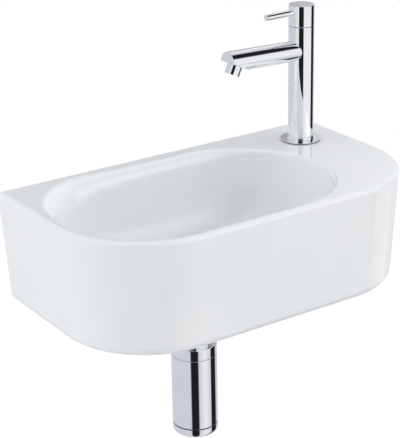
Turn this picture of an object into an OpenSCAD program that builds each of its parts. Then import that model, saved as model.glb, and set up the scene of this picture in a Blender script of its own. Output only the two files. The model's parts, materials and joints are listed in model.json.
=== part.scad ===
// Wall-hung cloakroom basin with a pillar tap, a free-running waste and a bottle trap.
// Origin: on the wall face, midway between the two wall-fixing holes.
// X runs along the wall to the right, -Y comes out of the wall, Z is up.

/* [Basin outside] */
// Width along the wall
basin_w = 400; // [380:1:460]
// Projection from the wall
basin_d = 220; // [212:1:260]
// Height from the foot to the rim
basin_h = 122; // [116:1:150]
// Plan radius of the two front corners
corner_r = 103; // [70:1:106]
// How far the front and sides lean in at the foot
foot_inset = 6.5; // [0:0.5:12]
// Radius of the outer edge at the rim
rim_r = 5; // [1:0.5:5]
// Radius of the outer edge at the foot
foot_r = 10; // [2:0.5:10]
// Thickness of the skirt wall
skirt_t = 11; // [9:0.5:14]
// Thickness of the tap deck
deck_t = 14; // [10:0.5:20]

/* [Bowl] */
// Rim between the basin's left side and the bowl opening
left_rim = 15; // [13:1:25]
// Length of the tap deck, from the bowl opening to the right side
tap_deck_l = 85; // [83:1:110]
// Width of the bowl opening
bowl_w = 185; // [165:1:186]
// Rim between the bowl opening and the front face
front_rim = 10; // [10:0.5:16]
// Depth of the bowl below the rim
bowl_depth = 90; // [70:1:94]
// Thickness of the bowl wall
bowl_t = 9; // [7:0.5:10]
// Fullness of the bowl section, where 2 is an ellipse
bowl_fullness = 2.8; // [2.2:0.1:3.6]
// Lip radius at the front and right end of the bowl
lip_r = 4; // [1:0.5:4.5]
// Lip radius along the back of the bowl
back_lip_r = 13; // [5:0.5:16]
// Lip radius at the back left of the bowl
soft_lip_r = 22; // [8:0.5:26]

/* [Wall fixing] */
// Distance between the two fixing holes
fixing_pitch = 280; // [200:1:300]
// Diameter of each fixing hole
fixing_d = 14; // [10:0.5:16]
// Height of the rim above the fixing holes
fixing_drop = 65; // [50:1:80]

/* [Waste] */
// Drain position to the right of the bowl's middle
drain_right = -5; // [-20:1:20]
// Drain position from the bowl's middle towards the wall
drain_back = 6.5; // [-3:0.5:12]
// Diameter of the drain hole in the bowl
drain_hole_d = 45; // [44:0.5:50]
// Diameter of the waste flange
waste_flange_d = 63; // [58:0.5:68]
// Thickness of the waste flange
waste_flange_t = 2.5; // [1.5:0.1:4]
// Thread diameter of the waste tail
waste_d = 41.9; // [38:0.1:42.5]
// Bore of the waste tail
waste_bore = 35; // [30:0.5:37]
// Reach of the waste tail below the rim
waste_reach = 175; // [160:1:190]
// Thickness of the pad below the bowl that the waste nut pulls against
boss_t = 18; // [14:0.5:22]
// Thickness of the sealing rings at the drain
drain_seal_t = 2; // [1:0.5:3]
// Height of the waste nut
waste_nut_h = 9; // [6:0.5:12]
// Size of the waste nut across its flats
waste_nut_af = 54; // [50:0.5:60]
// Thickness of the strainer plate
strainer_t = 1.6; // [1:0.1:2.5]
// Diameter of each strainer hole
strainer_hole = 5; // [3:0.5:5.5]

/* [Tap] */
// Distance of the tap from the basin's right side
tap_side = 51; // [46:0.5:53]
// Tap position out from the wall
tap_y = -49.5; // [-60:0.5:-42]
// Turn of the spout and lever towards the front
tap_turn = 2.5; // [-10:0.5:30]
// Diameter of the tap hole in the deck
tap_hole_d = 35; // [32:0.5:38]
// Diameter of the tap column
column_d = 28; // [26:0.5:32]
// Height of the fixed column above the deck
column_h = 129; // [120:1:150]
// Diameter of the base flange
flange_d = 45; // [42:0.5:52]
// Height of the base flange's collar above the deck
flange_h = 5.5; // [4:0.5:8]
// Wall of that collar
flange_collar = 0.7; // [0.5:0.1:1.5]
// Height of the flange's disc above the deck, beside the collar
flange_edge = 2.1; // [1.8:0.1:3]
// Thickness of the rubber ring below the flange
base_seal_t = 1; // [0.5:0.1:2]
// Height of the turning hub
hub_h = 22.7; // [20:0.5:30]
// Height of the lever above the bottom of the hub
lever_up = 15.6; // [14.8:0.1:17]
// Diameter of the lever rod
lever_d = 6.8; // [5:0.1:8]
// Reach of the lever from the tap axis
lever_reach = 49.7; // [40:0.5:80]

/* [Spout] */
// Distance of the spout axis below the column's top, at the tap axis
spout_below_top = 27.5; // [26:0.1:33]
// Diameter of the spout
spout_d = 22.3; // [20:0.1:24]
// Wall of the spout tube
spout_wall = 3.1; // [2:0.1:4]
// Reach of the spout tip from the tap axis
spout_reach = 101.7; // [90:0.1:140]
// Upward slope of the spout in degrees
spout_rise = 2.3; // [0:0.1:8]
// Tilt of the outlet face and aerator from level, in degrees
outlet_tilt = 25; // [15:0.5:30]
// Distance from the spout tip back to the aerator axis, along the outlet face
outlet_back = 11.4; // [9.5:0.1:13]
// Diameter of the aerator
aerator_d = 16.6; // [15:0.1:17]
// How far the aerator stands out of the outlet face
aerator_h = 10.6; // [6:0.1:13]

/* [Cartridge and shank] */
// Diameter of the threaded shank
shank_d = 20.95; // [19:0.05:21]
// Bore of the shank and of the waterway in the column
water_bore = 12; // [9:0.5:14]
// Depth of the shank's socket in the column
socket_depth = 12; // [8:0.5:16]
// Reach of the shank below the deck's top
shank_reach = 62; // [55:1:70]
// Length of the shank's free thread, where a supply nut screws on
inlet_l = 30; // [20:1:33]
// Diameter of the cartridge's thread
cartridge_d = 22.8; // [21:0.1:23]
// Distance of the valve seat below the column's top
seat_below_top = 39; // [38:0.5:43]
// Diameter of the ceramic discs
disc_d = 13.4; // [12:0.1:14]
// Thickness of each ceramic disc
disc_t = 2.5; // [2:0.1:3]
// Diameter of the spindle
spindle_d = 7; // [6:0.1:8]

/* [Bottle trap] */
// Diameter of the trap body
trap_d = 48.8; // [47.5:0.1:54]
// Depth of the trap nut's top below the rim
trap_top = 170; // [160:1:172]
// Height of the trap's union nut
union_h = 12; // [11.5:0.5:16]
// Height of the trap body
trap_h = 80.2; // [70:0.5:110]
// Height of the cup below the body
cup_h = 10.3; // [9:0.1:20]
// Radius of the cup's lower edge
cup_r = 5; // [1:0.5:6]
// Wall of the trap body
trap_wall = 1.8; // [1.2:0.1:2.4]
// Outside diameter of the dip tube
dip_d = 30; // [28:0.5:32]
// Bore of the outlet's socket, for a 32 mm waste pipe
outlet_bore = 32.2; // [31:0.1:33]
// Depth of that socket
outlet_socket_l = 25; // [20:0.5:26]
// Bore of the outlet between the bottle and the socket
outlet_throat = 28; // [24:0.5:30]
// Depth of the outlet axis below the top of the trap body
outlet_down = 23; // [22.5:0.5:30]
// Reach of the outlet tube from the trap axis
outlet_reach = 50; // [45:0.5:80]
// Turn of the outlet from square to the wall
outlet_turn = 34; // [0:1:60]
// Thread pitch of the cup
cup_pitch = 2.5; // [1.5:0.5:4]

/* [Clearances] */
// Radial gap of a thread or push fit in one assembly
fit_gap = 0.05; // [0.02:0.01:0.1]
// Gap between pieces that turn past each other
run_gap = 0.3; // [0.2:0.05:0.5]

/* [Hidden] */
$fn = 96;

// Levels and centres, from the wall-fixing line
rim_z = fixing_drop;
foot_z = rim_z - basin_h;
bowl_r = bowl_w / 2;
bowl_y = -(basin_d - front_rim - bowl_r);
right_c = [basin_w / 2 - tap_deck_l - bowl_r, bowl_y];
left_c = [-basin_w / 2 + left_rim + bowl_r, bowl_y];
drain_c = (left_c + right_c) / 2 + [drain_right, drain_back];
tap_x = basin_w / 2 - tap_side;
floor_z = rim_z - bowl_depth;
boss_z = floor_z - boss_t;
overcut = 1;
wall_over = 12;
hex_k = 1 / cos(30);

// Plan stations of the basin loft
arc_steps = 44;
back_steps = 9;
side_steps = 6;
lip_steps = 6;
edge_steps = 4;
bowl_steps = 13;
under_steps = 7;
ceiling_z = rim_z - deck_t;
ceiling_above_boss = 4;
ceiling_low = boss_z + ceiling_above_boss;
ceiling_min = 6;
ceiling_halvings = 9;
boss_room = 6;
floor_room = 2;
boss_r = max(waste_nut_af / 2 * hex_k, waste_flange_d / 2) + boss_room;
floor_r = waste_flange_d / 2 + floor_room;
foot_land = 1;
skirt_foot_r = min(foot_r, skirt_t - foot_land);

// Where the bowl's lip is softer, as angles round the bowl: middle, then reach.
// The fade is how fast the soft part ends along the straight back, in degrees per mm.
back_lip_at = 85;
back_lip_reach = 45;
soft_lip_at = 120;
soft_lip_before = 45;
soft_lip_after = 85;
soft_lip_fade = 0.2;
lip_min = 0.5;
rim_land = 0.3;

function polar(r, a) = [r * cos(a), r * sin(a)];
function bump(a, at, wide) = abs(a - at) < wide ? (1 + cos(180 * (a - at) / wide)) / 2 : 0;

// A station is [centre, angle]: a point of the bowl's long oval and its outward direction
corner_a = atan2(wall_over - bowl_y, basin_w / 2 - right_c.x);
left_corner_a = atan2(wall_over - bowl_y, -basin_w / 2 - left_c.x);
stations = [
    for (i = [0 : arc_steps]) [right_c, -90 + (corner_a + 90) * i / arc_steps],
    for (i = [1 : back_steps]) [right_c, corner_a + (90 - corner_a) * i / back_steps],
    for (i = [1 : side_steps - 1]) [right_c + (left_c - right_c) * i / side_steps, 90],
    for (i = [0 : back_steps]) [left_c, 90 + (left_corner_a - 90) * i / back_steps],
    for (i = [1 : arc_steps]) [left_c, left_corner_a + (270 - left_corner_a) * i / arc_steps],
    for (i = [1 : side_steps - 1]) [left_c + (right_c - left_c) * i / side_steps, 270],
];
count = len(stations);

// Point on the bowl outline, moved outwards by out
function bowl_point(s, out) = s[0] + polar(bowl_r + out, s[1]);

// Where the ray of a station meets the basin's outline, moved in by inset
function hit_line(pos, dir, limit) = abs(dir) < 1e-6 ? 1e6 : (limit - pos) / dir;
function hit_arc(c, d, k, r) =
    let (m = c - k, b = m * d)
    -b + sqrt(max(0, b * b - m * m + r * r));
function outline_reach(s, inset, back_y) =
    let (
        c = s[0],
        d = polar(1, s[1]),
        w = basin_w / 2 - inset,
        front = -(basin_d - inset),
        r = max(corner_r - inset, 1),
        tx = hit_line(c.x, d.x, d.x > 0 ? w : -w),
        ty = hit_line(c.y, d.y, d.y > 0 ? back_y : front),
        t = min(tx, ty),
        p = c + t * d,
        k = [sign(p.x) * (w - r), front + r]
    )
    abs(p.x) > w - r && p.y < front + r ? hit_arc(c, d, k, r) : t;
function outline_point(s, inset, back_y) = s[0] + polar(outline_reach(s, inset, back_y), s[1]);

function lean(z) = foot_inset * (rim_z - z) / basin_h;
function lip(s) =
    let (
        a = s[1],
        soft_a = a - soft_lip_fade * (s[0].x - left_c.x),
        soft_reach = a < soft_lip_at ? soft_lip_before : soft_lip_after,
        want = lip_r + (back_lip_r - lip_r) * bump(a, back_lip_at, back_lip_reach)
            + (soft_lip_r - lip_r) * bump(soft_a, soft_lip_at, soft_reach),
        room = outline_reach(s, 0, 0) - bowl_r - rim_r - rim_land
    )
    max(lip_min, min(want, room));

// The bowl's section: u runs from 1 at the wall to 0 at the drain, v from 0 to 1 in depth
function section_u(t) = pow(max(0, cos(t)), 2 / bowl_fullness);
function section_v(t) = pow(sin(t), 2 / bowl_fullness);
function drain_point(s, r) =
    let (e = bowl_point(s, 0) - drain_c)
    drain_c + r * e / norm(e);
function bowl_in(s, t) =
    let (
        l = lip(s),
        p = drain_point(s, floor_r) * (1 - section_u(t)) + bowl_point(s, 0) * section_u(t)
    )
    [p.x, p.y, rim_z - l - (bowl_depth - l) * section_v(t)];
function bowl_out(s, t) =
    let (p = drain_point(s, boss_r) * (1 - section_u(t)) + bowl_point(s, bowl_t) * section_u(t))
    [p.x, p.y, rim_z - (rim_z - boss_z) * section_v(t)];

// The hollow's ceiling: as high as it can be with room between bowl and skirt
function under_t(z) = asin(pow((rim_z - z) / (rim_z - boss_z), bowl_fullness / 2));
function room(s, z) =
    let (p = bowl_out(s, under_t(z)))
    outline_reach(s, skirt_t + lean(z), -skirt_t) - ([p.x, p.y] - s[0]) * polar(1, s[1]);
function ceiling(s, lo, hi, n) =
    room(s, hi) >= ceiling_min ? hi
    : n == 0 ? lo
    : let (mid = (lo + hi) / 2) room(s, mid) >= ceiling_min
        ? ceiling(s, mid, hi, n - 1)
        : ceiling(s, lo, mid, n - 1);
ceilings = [for (s = stations) ceiling(s, ceiling_low, ceiling_z, ceiling_halvings)];

// Rings of the loft, from the bowl's floor over the rim and round to the underside
function flat(p, z) = [p.x, p.y, z];
rings = [
    for (j = [bowl_steps : -1 : 1])
        [for (s = stations) bowl_in(s, 90 * j / bowl_steps)],
    for (j = [lip_steps : -1 : 0])
        let (a = 90 * j / lip_steps)
        [for (s = stations)
            let (l = lip(s))
            flat(bowl_point(s, l * (1 - sin(a))), rim_z - l * (1 - cos(a)))],
    for (j = [edge_steps : -1 : 0])
        let (a = 90 * j / edge_steps)
        [for (s = stations)
            flat(outline_point(s, rim_r * (1 - cos(a)), wall_over), rim_z - rim_r * (1 - sin(a)))],
    for (j = [0 : edge_steps])
        let (a = 90 * j / edge_steps)
        [for (s = stations)
            flat(outline_point(s, foot_inset + skirt_foot_r * (1 - cos(a)), wall_over),
                foot_z + skirt_foot_r * (1 - sin(a)))],
    [for (s = stations) flat(outline_point(s, foot_inset + skirt_t, -skirt_t), foot_z)],
    [for (i = [0 : count - 1])
        flat(outline_point(stations[i], skirt_t + lean(ceilings[i]), -skirt_t), ceilings[i])],
    for (j = [0 : under_steps])
        [for (i = [0 : count - 1])
            let (t = under_t(ceilings[i]))
            bowl_out(stations[i], t + (90 - t) * j / under_steps)],
];
ring_count = len(rings);
shell_points = concat(
    [flat(drain_c, floor_z)],
    [for (r = rings) each r],
    [flat(drain_c, boss_z)]
);
last_point = len(shell_points) - 1;
function at(j, i) = 1 + j * count + i % count;
shell_faces = concat(
    [for (i = [0 : count - 1]) [0, at(0, i + 1), at(0, i)]],
    [for (j = [0 : ring_count - 2], i = [0 : count - 1]) [at(j, i), at(j, i + 1), at(j + 1, i)]],
    [for (j = [0 : ring_count - 2], i = [0 : count - 1])
        [at(j, i + 1), at(j + 1, i + 1), at(j + 1, i)]],
    [for (i = [0 : count - 1]) [last_point, at(ring_count - 1, i), at(ring_count - 1, i + 1)]]
);

// Waste levels
seat_z = floor_z - waste_flange_t - drain_seal_t;
waste_end = rim_z - waste_reach;
recess_step = 2;
recess_depth = 1;
funnel_step = 1;
recess_r = waste_bore / 2 + recess_step;
recess_low = floor_z - strainer_t - recess_depth;
funnel_r = recess_r + funnel_step;
funnel_drop = 0.4;
strainer_r = recess_r - run_gap;
inner_ring = 0.42 * strainer_r;
outer_ring = 0.78 * strainer_r;
top_seal_set_back = 2;
top_seal_r = waste_flange_d / 2 - top_seal_set_back;
lower_seal_overhang = 1;
lower_seal_r = waste_nut_af / 2 + lower_seal_overhang;
lower_seal_h = 2 * drain_seal_t;
lower_seal_taper = 3;
washer_t = 1.5;
waste_washer_z = boss_z - lower_seal_h - washer_t;

// Tap levels and fits
deck_z = rim_z;
column_r = column_d / 2;
foot_of_column = deck_z + base_seal_t;
column_top = deck_z + column_h;
spout_z = column_top - spout_below_top;
hub_z = column_top + run_gap;
lever_z = column_top + lever_up;
flange_bore_r = column_r + fit_gap;
flange_bevel = 0.4;
flange_fall = 0.2;
base_seal_set_back = 0.8;
base_seal_r = flange_d / 2 - base_seal_set_back;

// Cartridge levels and radii, from the valve seat up
thread_r = cartridge_d / 2;
thread_depth = 0.6;
chamber_r = thread_r - thread_depth;
valve_seat_z = column_top - seat_below_top;
seat_seal_h = 2;
seat_seal_lip = 1;
seat_seal_r = water_bore / 2 - seat_seal_lip;
disc_z = valve_seat_z + seat_seal_h;
disc_cavity_r = disc_d / 2 + fit_gap;
disc_window_r = 0.14 * disc_d;
disc_window_at = 0.25 * disc_d;
spindle_z = disc_z + 2 * disc_t;
spindle_foot_w = 1.4;
spindle_foot_r = spindle_d / 2 + spindle_foot_w;
spindle_foot_h = 2;
spindle_cavity_gap = 0.4;
spindle_cavity_r = spindle_foot_r + spindle_cavity_gap;
window_up = 1;
window_h = 7;
guide_up = 9.5;
guide_z = spindle_z + guide_up;
o_ring_up = 4;
o_ring_z = guide_z + o_ring_up;
o_ring_r = 0.55;
barrel_wall = 1.8;
barrel_r = disc_d / 2 + barrel_wall;
thread_l = 10;
hex_h = 6;
hex_z = column_top - hex_h;
thread_z = hex_z - thread_l;

// Hub and lever
hub_bevel = 0.8;
hub_roof = 1.2;
end_gap = 0.5;
spline_top = lever_z - lever_d / 2 - hub_roof;
spline_step = 0.8;
spline_d = spindle_d + spline_step;
grub_z = (hub_z + spline_top) / 2;
grub_r = 2;
grub_sunk = 1;
grub_socket_r = 1.1;
grub_socket_l = 2;
tenon_step = 0.9;
tenon_r = lever_d / 2 - tenon_step;
tenon_l = 6;
tenon_gap = 0.2;
rod_overlap = 2;

// Spout frame: along the spout from the tap axis
spout_r = spout_d / 2;
spout_bore_r = spout_r - spout_wall;
outlet_s = spout_reach * cos(spout_rise) - outlet_back * cos(outlet_tilt);
outlet_z = spout_reach * sin(spout_rise) - outlet_back * sin(outlet_tilt);
spout_plug = chamber_r + thread_depth;
spout_plug_wall = 1.4;
waterway_up = 4.2;
waterway_r = 3.4;
aerator_r = aerator_d / 2;
aerator_wall = 1.4;
aerator_step = 1.7;
aerator_socket_r = aerator_r - aerator_step;
aerator_socket_l = 6;
aerator_neck_r = aerator_socket_r - fit_gap;
aerator_neck_l = 3.6;
aerator_neck_wall = 1;
aerator_floor = 0.8;
aerator_bevel = 0.6;
insert_r = aerator_r - aerator_wall - fit_gap;
insert_sunk = 1.5;
insert_h = aerator_h - aerator_floor - insert_sunk;
insert_hole_r = 0.2 * insert_r;
insert_ring = 0.58 * insert_r;
gasket_h = 1.4;
gasket_gap = 0.2;
gasket_w = 1.5;
gasket_r = aerator_socket_r - gasket_gap;
gasket_bore_r = gasket_r - gasket_w;

// Shank levels
rubber_t = 3;
shank_washer_lap = 3.5;
shank_washer_r = tap_hole_d / 2 + shank_washer_lap;
shank_nut_h = 10;
shank_nut_af = 30;
shank_stack_z = ceiling_z - rubber_t - washer_t;
shank_low = rim_z - shank_reach;
relief_depth = 0.5;
relief_r = shank_d / 2 - relief_depth;
relief_low = shank_low + inlet_l;

// Trap levels, from the rim down
union_z = rim_z - trap_top;
union_low = union_z - union_h;
edge_bevel = 0.8;
union_lip_t = 2.6;
collar_t = 2;
collar_set_back = 0.25;
collar_r = waste_d / 2 - collar_set_back;
dip_r = dip_d / 2;
dip_wall = 1.3;
dip_flange_w = 1.5;
dip_flange_r = dip_r + dip_flange_w;
dip_flange_t = 1;
dip_low_share = 0.22;
neck_wall = 2.6;
neck_r = dip_r + neck_wall;
shoulder_t = 3;
collar_low = union_low + union_lip_t + run_gap;
collar_top = collar_low + collar_t;
body_top = union_low - run_gap;
body_low = body_top - trap_h;
trap_r = trap_d / 2;
trap_inner_r = trap_r - trap_wall;
dip_low = body_low + dip_low_share * trap_h;
cup_seal_t = 1.2;
cup_seal_gap = 0.1;
cup_seal_set_back = 0.4;
cup_seal_r = trap_r - cup_seal_set_back;
cup_top = body_low - cup_seal_t;
cup_low = cup_top - cup_h;
cup_thread_top = body_low + 2 * cup_pitch;
cup_thread_r = trap_inner_r - run_gap;
cup_wall = 1.8;
cup_floor_t = 2;
cup_fillet = 1.5;
outlet_axis_z = body_top - outlet_down;
outlet_tube_wall = 1.4;
outlet_tube_r = outlet_bore / 2 + outlet_tube_wall;
outlet_root_in = 6;
outlet_root = trap_r - outlet_root_in;
outlet_nut_wall = 3.6;
outlet_nut_r = outlet_tube_r + outlet_nut_wall;
outlet_nut_l = 16;
outlet_lip = 2.5;
outlet_seal_l = 3;

// Quarter arc points for turned profiles
function arc(c, r, a0, a1, n) = [for (i = [0 : n]) c + polar(r, a0 + (a1 - a0) * i / n)];

module ring(outer_r, inner_r, h) {
    difference() {
        cylinder(r = outer_r, h = h);
        translate([0, 0, -overcut]) cylinder(r = inner_r, h = h + 2 * overcut);
    }
}

module at_drain(z) {
    translate(flat(drain_c, z)) children();
}

module at_tap(z) {
    translate([tap_x, tap_y, z]) rotate([0, 0, 180 + tap_turn]) children();
}

// Puts a child's Z axis along the spout, with X pointing down
module along_spout() {
    at_tap(spout_z) rotate([0, 90 - spout_rise, 0]) children();
}

// The outlet face: Z points out of the face, along the aerator's axis
module at_outlet_face() {
    at_tap(spout_z)
        translate([outlet_s, 0, outlet_z])
        rotate([0, 180 - outlet_tilt, 0])
        children();
}

module at_trap_outlet() {
    at_drain(outlet_axis_z)
        rotate([0, 0, 90 - outlet_turn])
        rotate([0, 90, 0])
        children();
}

module basin() {
    color("#f2f4f5") difference() {
        polyhedron(shell_points, shell_faces);
        translate([-basin_w, 0, foot_z - overcut]) cube([2 * basin_w, 4 * wall_over, basin_h * 2]);
        at_drain(seat_z) cylinder(r = waste_flange_d / 2 + run_gap, h = bowl_depth);
        at_drain(boss_z - overcut) cylinder(d = drain_hole_d, h = boss_t + overcut);
        translate([tap_x, tap_y, rim_z - deck_t - overcut])
            cylinder(d = tap_hole_d, h = deck_t + 2 * overcut);
        for (x = [-fixing_pitch / 2, fixing_pitch / 2])
            translate([x, overcut, 0])
                rotate([90, 0, 0])
                cylinder(d = fixing_d, h = skirt_t + 2 * overcut, $fn = 48);
    }
}

module waste_body() {
    color("#c9ccd0") at_drain(0) rotate_extrude() polygon([
        [waste_bore / 2, waste_end],
        [waste_d / 2, waste_end],
        [waste_d / 2, floor_z - waste_flange_t],
        [waste_flange_d / 2, floor_z - waste_flange_t],
        [waste_flange_d / 2, floor_z - waste_flange_t / 2],
        [waste_flange_d / 2 - waste_flange_t, floor_z],
        [funnel_r, floor_z - funnel_drop],
        [recess_r, recess_low],
        [waste_bore / 2, recess_low],
    ]);
}

module strainer_holes(circle_r, holes) {
    for (k = [0 : holes - 1])
        rotate([0, 0, 360 * k / holes])
            translate([circle_r, 0, -overcut])
            cylinder(d = strainer_hole, h = strainer_t + 2 * overcut, $fn = 24);
}

module waste_strainer() {
    color("#d4d7da") at_drain(recess_low) difference() {
        cylinder(r = strainer_r, h = strainer_t);
        strainer_holes(0, 1);
        strainer_holes(inner_ring, 6);
        strainer_holes(outer_ring, 12);
    }
}

module waste_top_seal() {
    color("#26272b") at_drain(seat_z)
        ring(top_seal_r, waste_d / 2 + fit_gap, drain_seal_t);
}

// Flat below, with a taper that reaches up round the tail inside the drain hole
module waste_lower_seal() {
    color("#26272b") at_drain(boss_z - lower_seal_h) rotate_extrude() polygon([
        [waste_d / 2 + fit_gap, 0],
        [lower_seal_r, 0],
        [lower_seal_r, lower_seal_h],
        [drain_hole_d / 2 - run_gap, lower_seal_h],
        [waste_d / 2 + fit_gap, lower_seal_h + lower_seal_taper],
    ]);
}

module waste_washer() {
    color("#e8e8e6") at_drain(waste_washer_z)
        ring(lower_seal_r, waste_d / 2 + fit_gap, washer_t);
}

module waste_nut() {
    color("#b8a06a") at_drain(waste_washer_z - waste_nut_h) difference() {
        cylinder(r = waste_nut_af / 2 * hex_k, h = waste_nut_h, $fn = 6);
        translate([0, 0, -overcut])
            cylinder(r = waste_d / 2 + fit_gap, h = waste_nut_h + 2 * overcut);
    }
}

module tap_column() {
    color("#c9ccd0") difference() {
        at_tap(foot_of_column) cylinder(r = column_r, h = column_top - foot_of_column);
        at_tap(foot_of_column - overcut) cylinder(r = shank_d / 2 + fit_gap, h = socket_depth + overcut);
        at_tap(foot_of_column) cylinder(d = water_bore, h = valve_seat_z - foot_of_column + overcut);
        at_tap(valve_seat_z) cylinder(r = chamber_r, h = column_h);
        at_tap(thread_z) cylinder(r = thread_r + fit_gap, h = column_h);
        along_spout() cylinder(r = spout_bore_r, h = column_d);
    }
}

// A thin disc with a short collar round the column
module tap_flange() {
    disc_r = flange_d / 2;
    disc_z = flange_edge - base_seal_t;
    collar_r = flange_bore_r + flange_collar;
    top_z = flange_h - base_seal_t;
    color("#c9ccd0") at_tap(foot_of_column) rotate_extrude() polygon([
        [flange_bore_r, 0],
        [disc_r, 0],
        [disc_r, disc_z - flange_fall - flange_bevel],
        [disc_r - flange_bevel, disc_z - flange_fall],
        [collar_r, disc_z],
        [collar_r, top_z - flange_bevel],
        [collar_r - flange_bevel, top_z],
        [flange_bore_r, top_z],
    ]);
}

module tap_base_seal() {
    color("#26272b") at_tap(deck_z)
        ring(base_seal_r, shank_d / 2 + fit_gap, base_seal_t);
}

// Tube with a plug into the column, a waterway and a socket for the aerator
module tap_spout() {
    cut = 4 * spout_d;
    color("#c9ccd0") difference() {
        union() {
            difference() {
                along_spout() cylinder(r = spout_r, h = spout_reach);
                at_tap(foot_of_column) cylinder(r = flange_bore_r, h = 2 * column_h);
            }
            along_spout() translate([0, 0, spout_plug])
                cylinder(r = spout_bore_r - fit_gap, h = column_r);
        }
        at_outlet_face() translate([-cut / 2, -cut / 2, 0]) cube([cut, cut, cut]);
        along_spout() cylinder(r = spout_bore_r - spout_plug_wall, h = outlet_s - spout_d);
        along_spout() translate([-waterway_up, 0, 0])
            cylinder(r = waterway_r, h = outlet_s + overcut, $fn = 48);
        at_outlet_face() translate([0, 0, -aerator_socket_l])
            cylinder(r = aerator_socket_r, h = aerator_socket_l + overcut);
    }
}

module aerator_shell() {
    color("#c9ccd0") at_outlet_face() rotate_extrude() polygon([
        [aerator_neck_r - aerator_neck_wall, -aerator_neck_l],
        [aerator_neck_r, -aerator_neck_l],
        [aerator_neck_r, 0],
        [aerator_r, 0],
        [aerator_r, aerator_h - aerator_bevel],
        [aerator_r - aerator_bevel, aerator_h],
        [aerator_r - aerator_wall, aerator_h],
        [aerator_r - aerator_wall, aerator_floor],
        [aerator_neck_r - aerator_neck_wall, aerator_floor],
    ]);
}

module aerator_insert() {
    color("#e8e8e6") at_outlet_face() translate([0, 0, aerator_floor]) difference() {
        cylinder(r = insert_r, h = insert_h);
        for (k = [0 : 6])
            rotate([0, 0, 60 * k])
                translate([k == 6 ? 0 : insert_ring, 0, -overcut])
                cylinder(r = insert_hole_r, h = insert_h + 2 * overcut, $fn = 16);
    }
}

module aerator_gasket() {
    color("#26272b") at_outlet_face() translate([0, 0, -aerator_neck_l - gasket_h])
        ring(gasket_r, gasket_bore_r, gasket_h);
}

// Threaded tube with a relief groove between the clamping thread and the supply thread
module tap_shank() {
    shank_top = foot_of_column + socket_depth;
    color("#b8a06a") at_tap(0) rotate_extrude() polygon([
        [water_bore / 2, shank_low],
        [shank_d / 2, shank_low],
        [shank_d / 2, relief_low],
        [relief_r, relief_low],
        [relief_r, shank_stack_z - shank_nut_h - end_gap],
        [shank_d / 2, shank_stack_z - shank_nut_h - end_gap],
        [shank_d / 2, shank_top],
        [water_bore / 2, shank_top],
    ]);
}

module shank_rubber_washer() {
    color("#26272b") at_tap(ceiling_z - rubber_t)
        ring(shank_washer_r, shank_d / 2 + fit_gap, rubber_t);
}

module shank_metal_washer() {
    color("#b9bcc0") at_tap(shank_stack_z)
        ring(shank_washer_r, shank_d / 2 + fit_gap, washer_t);
}

module shank_nut() {
    color("#b8a06a") at_tap(shank_stack_z - shank_nut_h) difference() {
        cylinder(r = shank_nut_af / 2 * hex_k, h = shank_nut_h, $fn = 6);
        translate([0, 0, -overcut])
            cylinder(r = shank_d / 2 + fit_gap, h = shank_nut_h + 2 * overcut);
    }
}

// Barrel with side windows, thread and hexagon
module cartridge_body() {
    color("#b8a06a") difference() {
        union() {
            at_tap(valve_seat_z) cylinder(r = barrel_r, h = thread_z - valve_seat_z + overcut);
            at_tap(thread_z) cylinder(r = thread_r, h = hex_z - thread_z);
            at_tap(hex_z - overcut)
                cylinder(r = chamber_r, h = column_top - hex_z - run_gap + overcut, $fn = 6);
        }
        at_tap(valve_seat_z - overcut)
            cylinder(r = disc_cavity_r, h = spindle_z + spindle_foot_h + end_gap - valve_seat_z + overcut);
        at_tap(spindle_z) cylinder(r = spindle_cavity_r, h = guide_z - spindle_z);
        at_tap(disc_z) cylinder(r = spindle_d / 2 + fit_gap, h = column_h);
        at_tap(spindle_z + window_up + window_h / 2)
            cube([3 * barrel_r, barrel_r, window_h], center = true);
    }
}

module cartridge_seat_seal() {
    color("#26272b") at_tap(valve_seat_z) ring(disc_d / 2, seat_seal_r, seat_seal_h);
}

// A ceramic disc with two opposite windows
module disc_with_windows() {
    difference() {
        cylinder(d = disc_d, h = disc_t);
        for (side = [-1, 1])
            translate([side * disc_window_at, 0, -overcut])
                cylinder(r = disc_window_r, h = disc_t + 2 * overcut, $fn = 24);
    }
}

module cartridge_fixed_disc() {
    color("#f4f4f0") at_tap(disc_z) disc_with_windows();
}

// Shut: its windows stand across those of the fixed disc
module cartridge_moving_disc() {
    color("#f4f4f0") at_tap(disc_z + disc_t) rotate([0, 0, 90]) disc_with_windows();
}

// Foot on the moving disc, collar below the guide, groove, shaft and spline
module cartridge_spindle() {
    groove_w = 4 * o_ring_r + 2 * fit_gap;
    groove_h = 2 * o_ring_r + 4 * fit_gap;
    color("#b8a06a") difference() {
        union() {
            at_tap(spindle_z) cylinder(r = spindle_foot_r, h = spindle_foot_h);
            at_tap(guide_z - spindle_foot_h - run_gap) cylinder(r = spindle_foot_r, h = spindle_foot_h);
            at_tap(spindle_z) cylinder(d = spindle_d, h = column_top + overcut - spindle_z);
            at_tap(column_top) cylinder(d = spline_d - 2 * fit_gap, h = spline_top - column_top - end_gap);
        }
        at_tap(o_ring_z) rotate_extrude() translate([spindle_d / 2, 0])
            square([groove_w, groove_h], center = true);
    }
}

// Sits in the spindle's groove and seals against the guide
module spindle_o_ring() {
    cord_r = o_ring_r - fit_gap / 2;
    color("#26272b") at_tap(o_ring_z)
        rotate_extrude() translate([spindle_d / 2 - cord_r, 0])
        circle(r = cord_r, $fn = 24);
}

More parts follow.
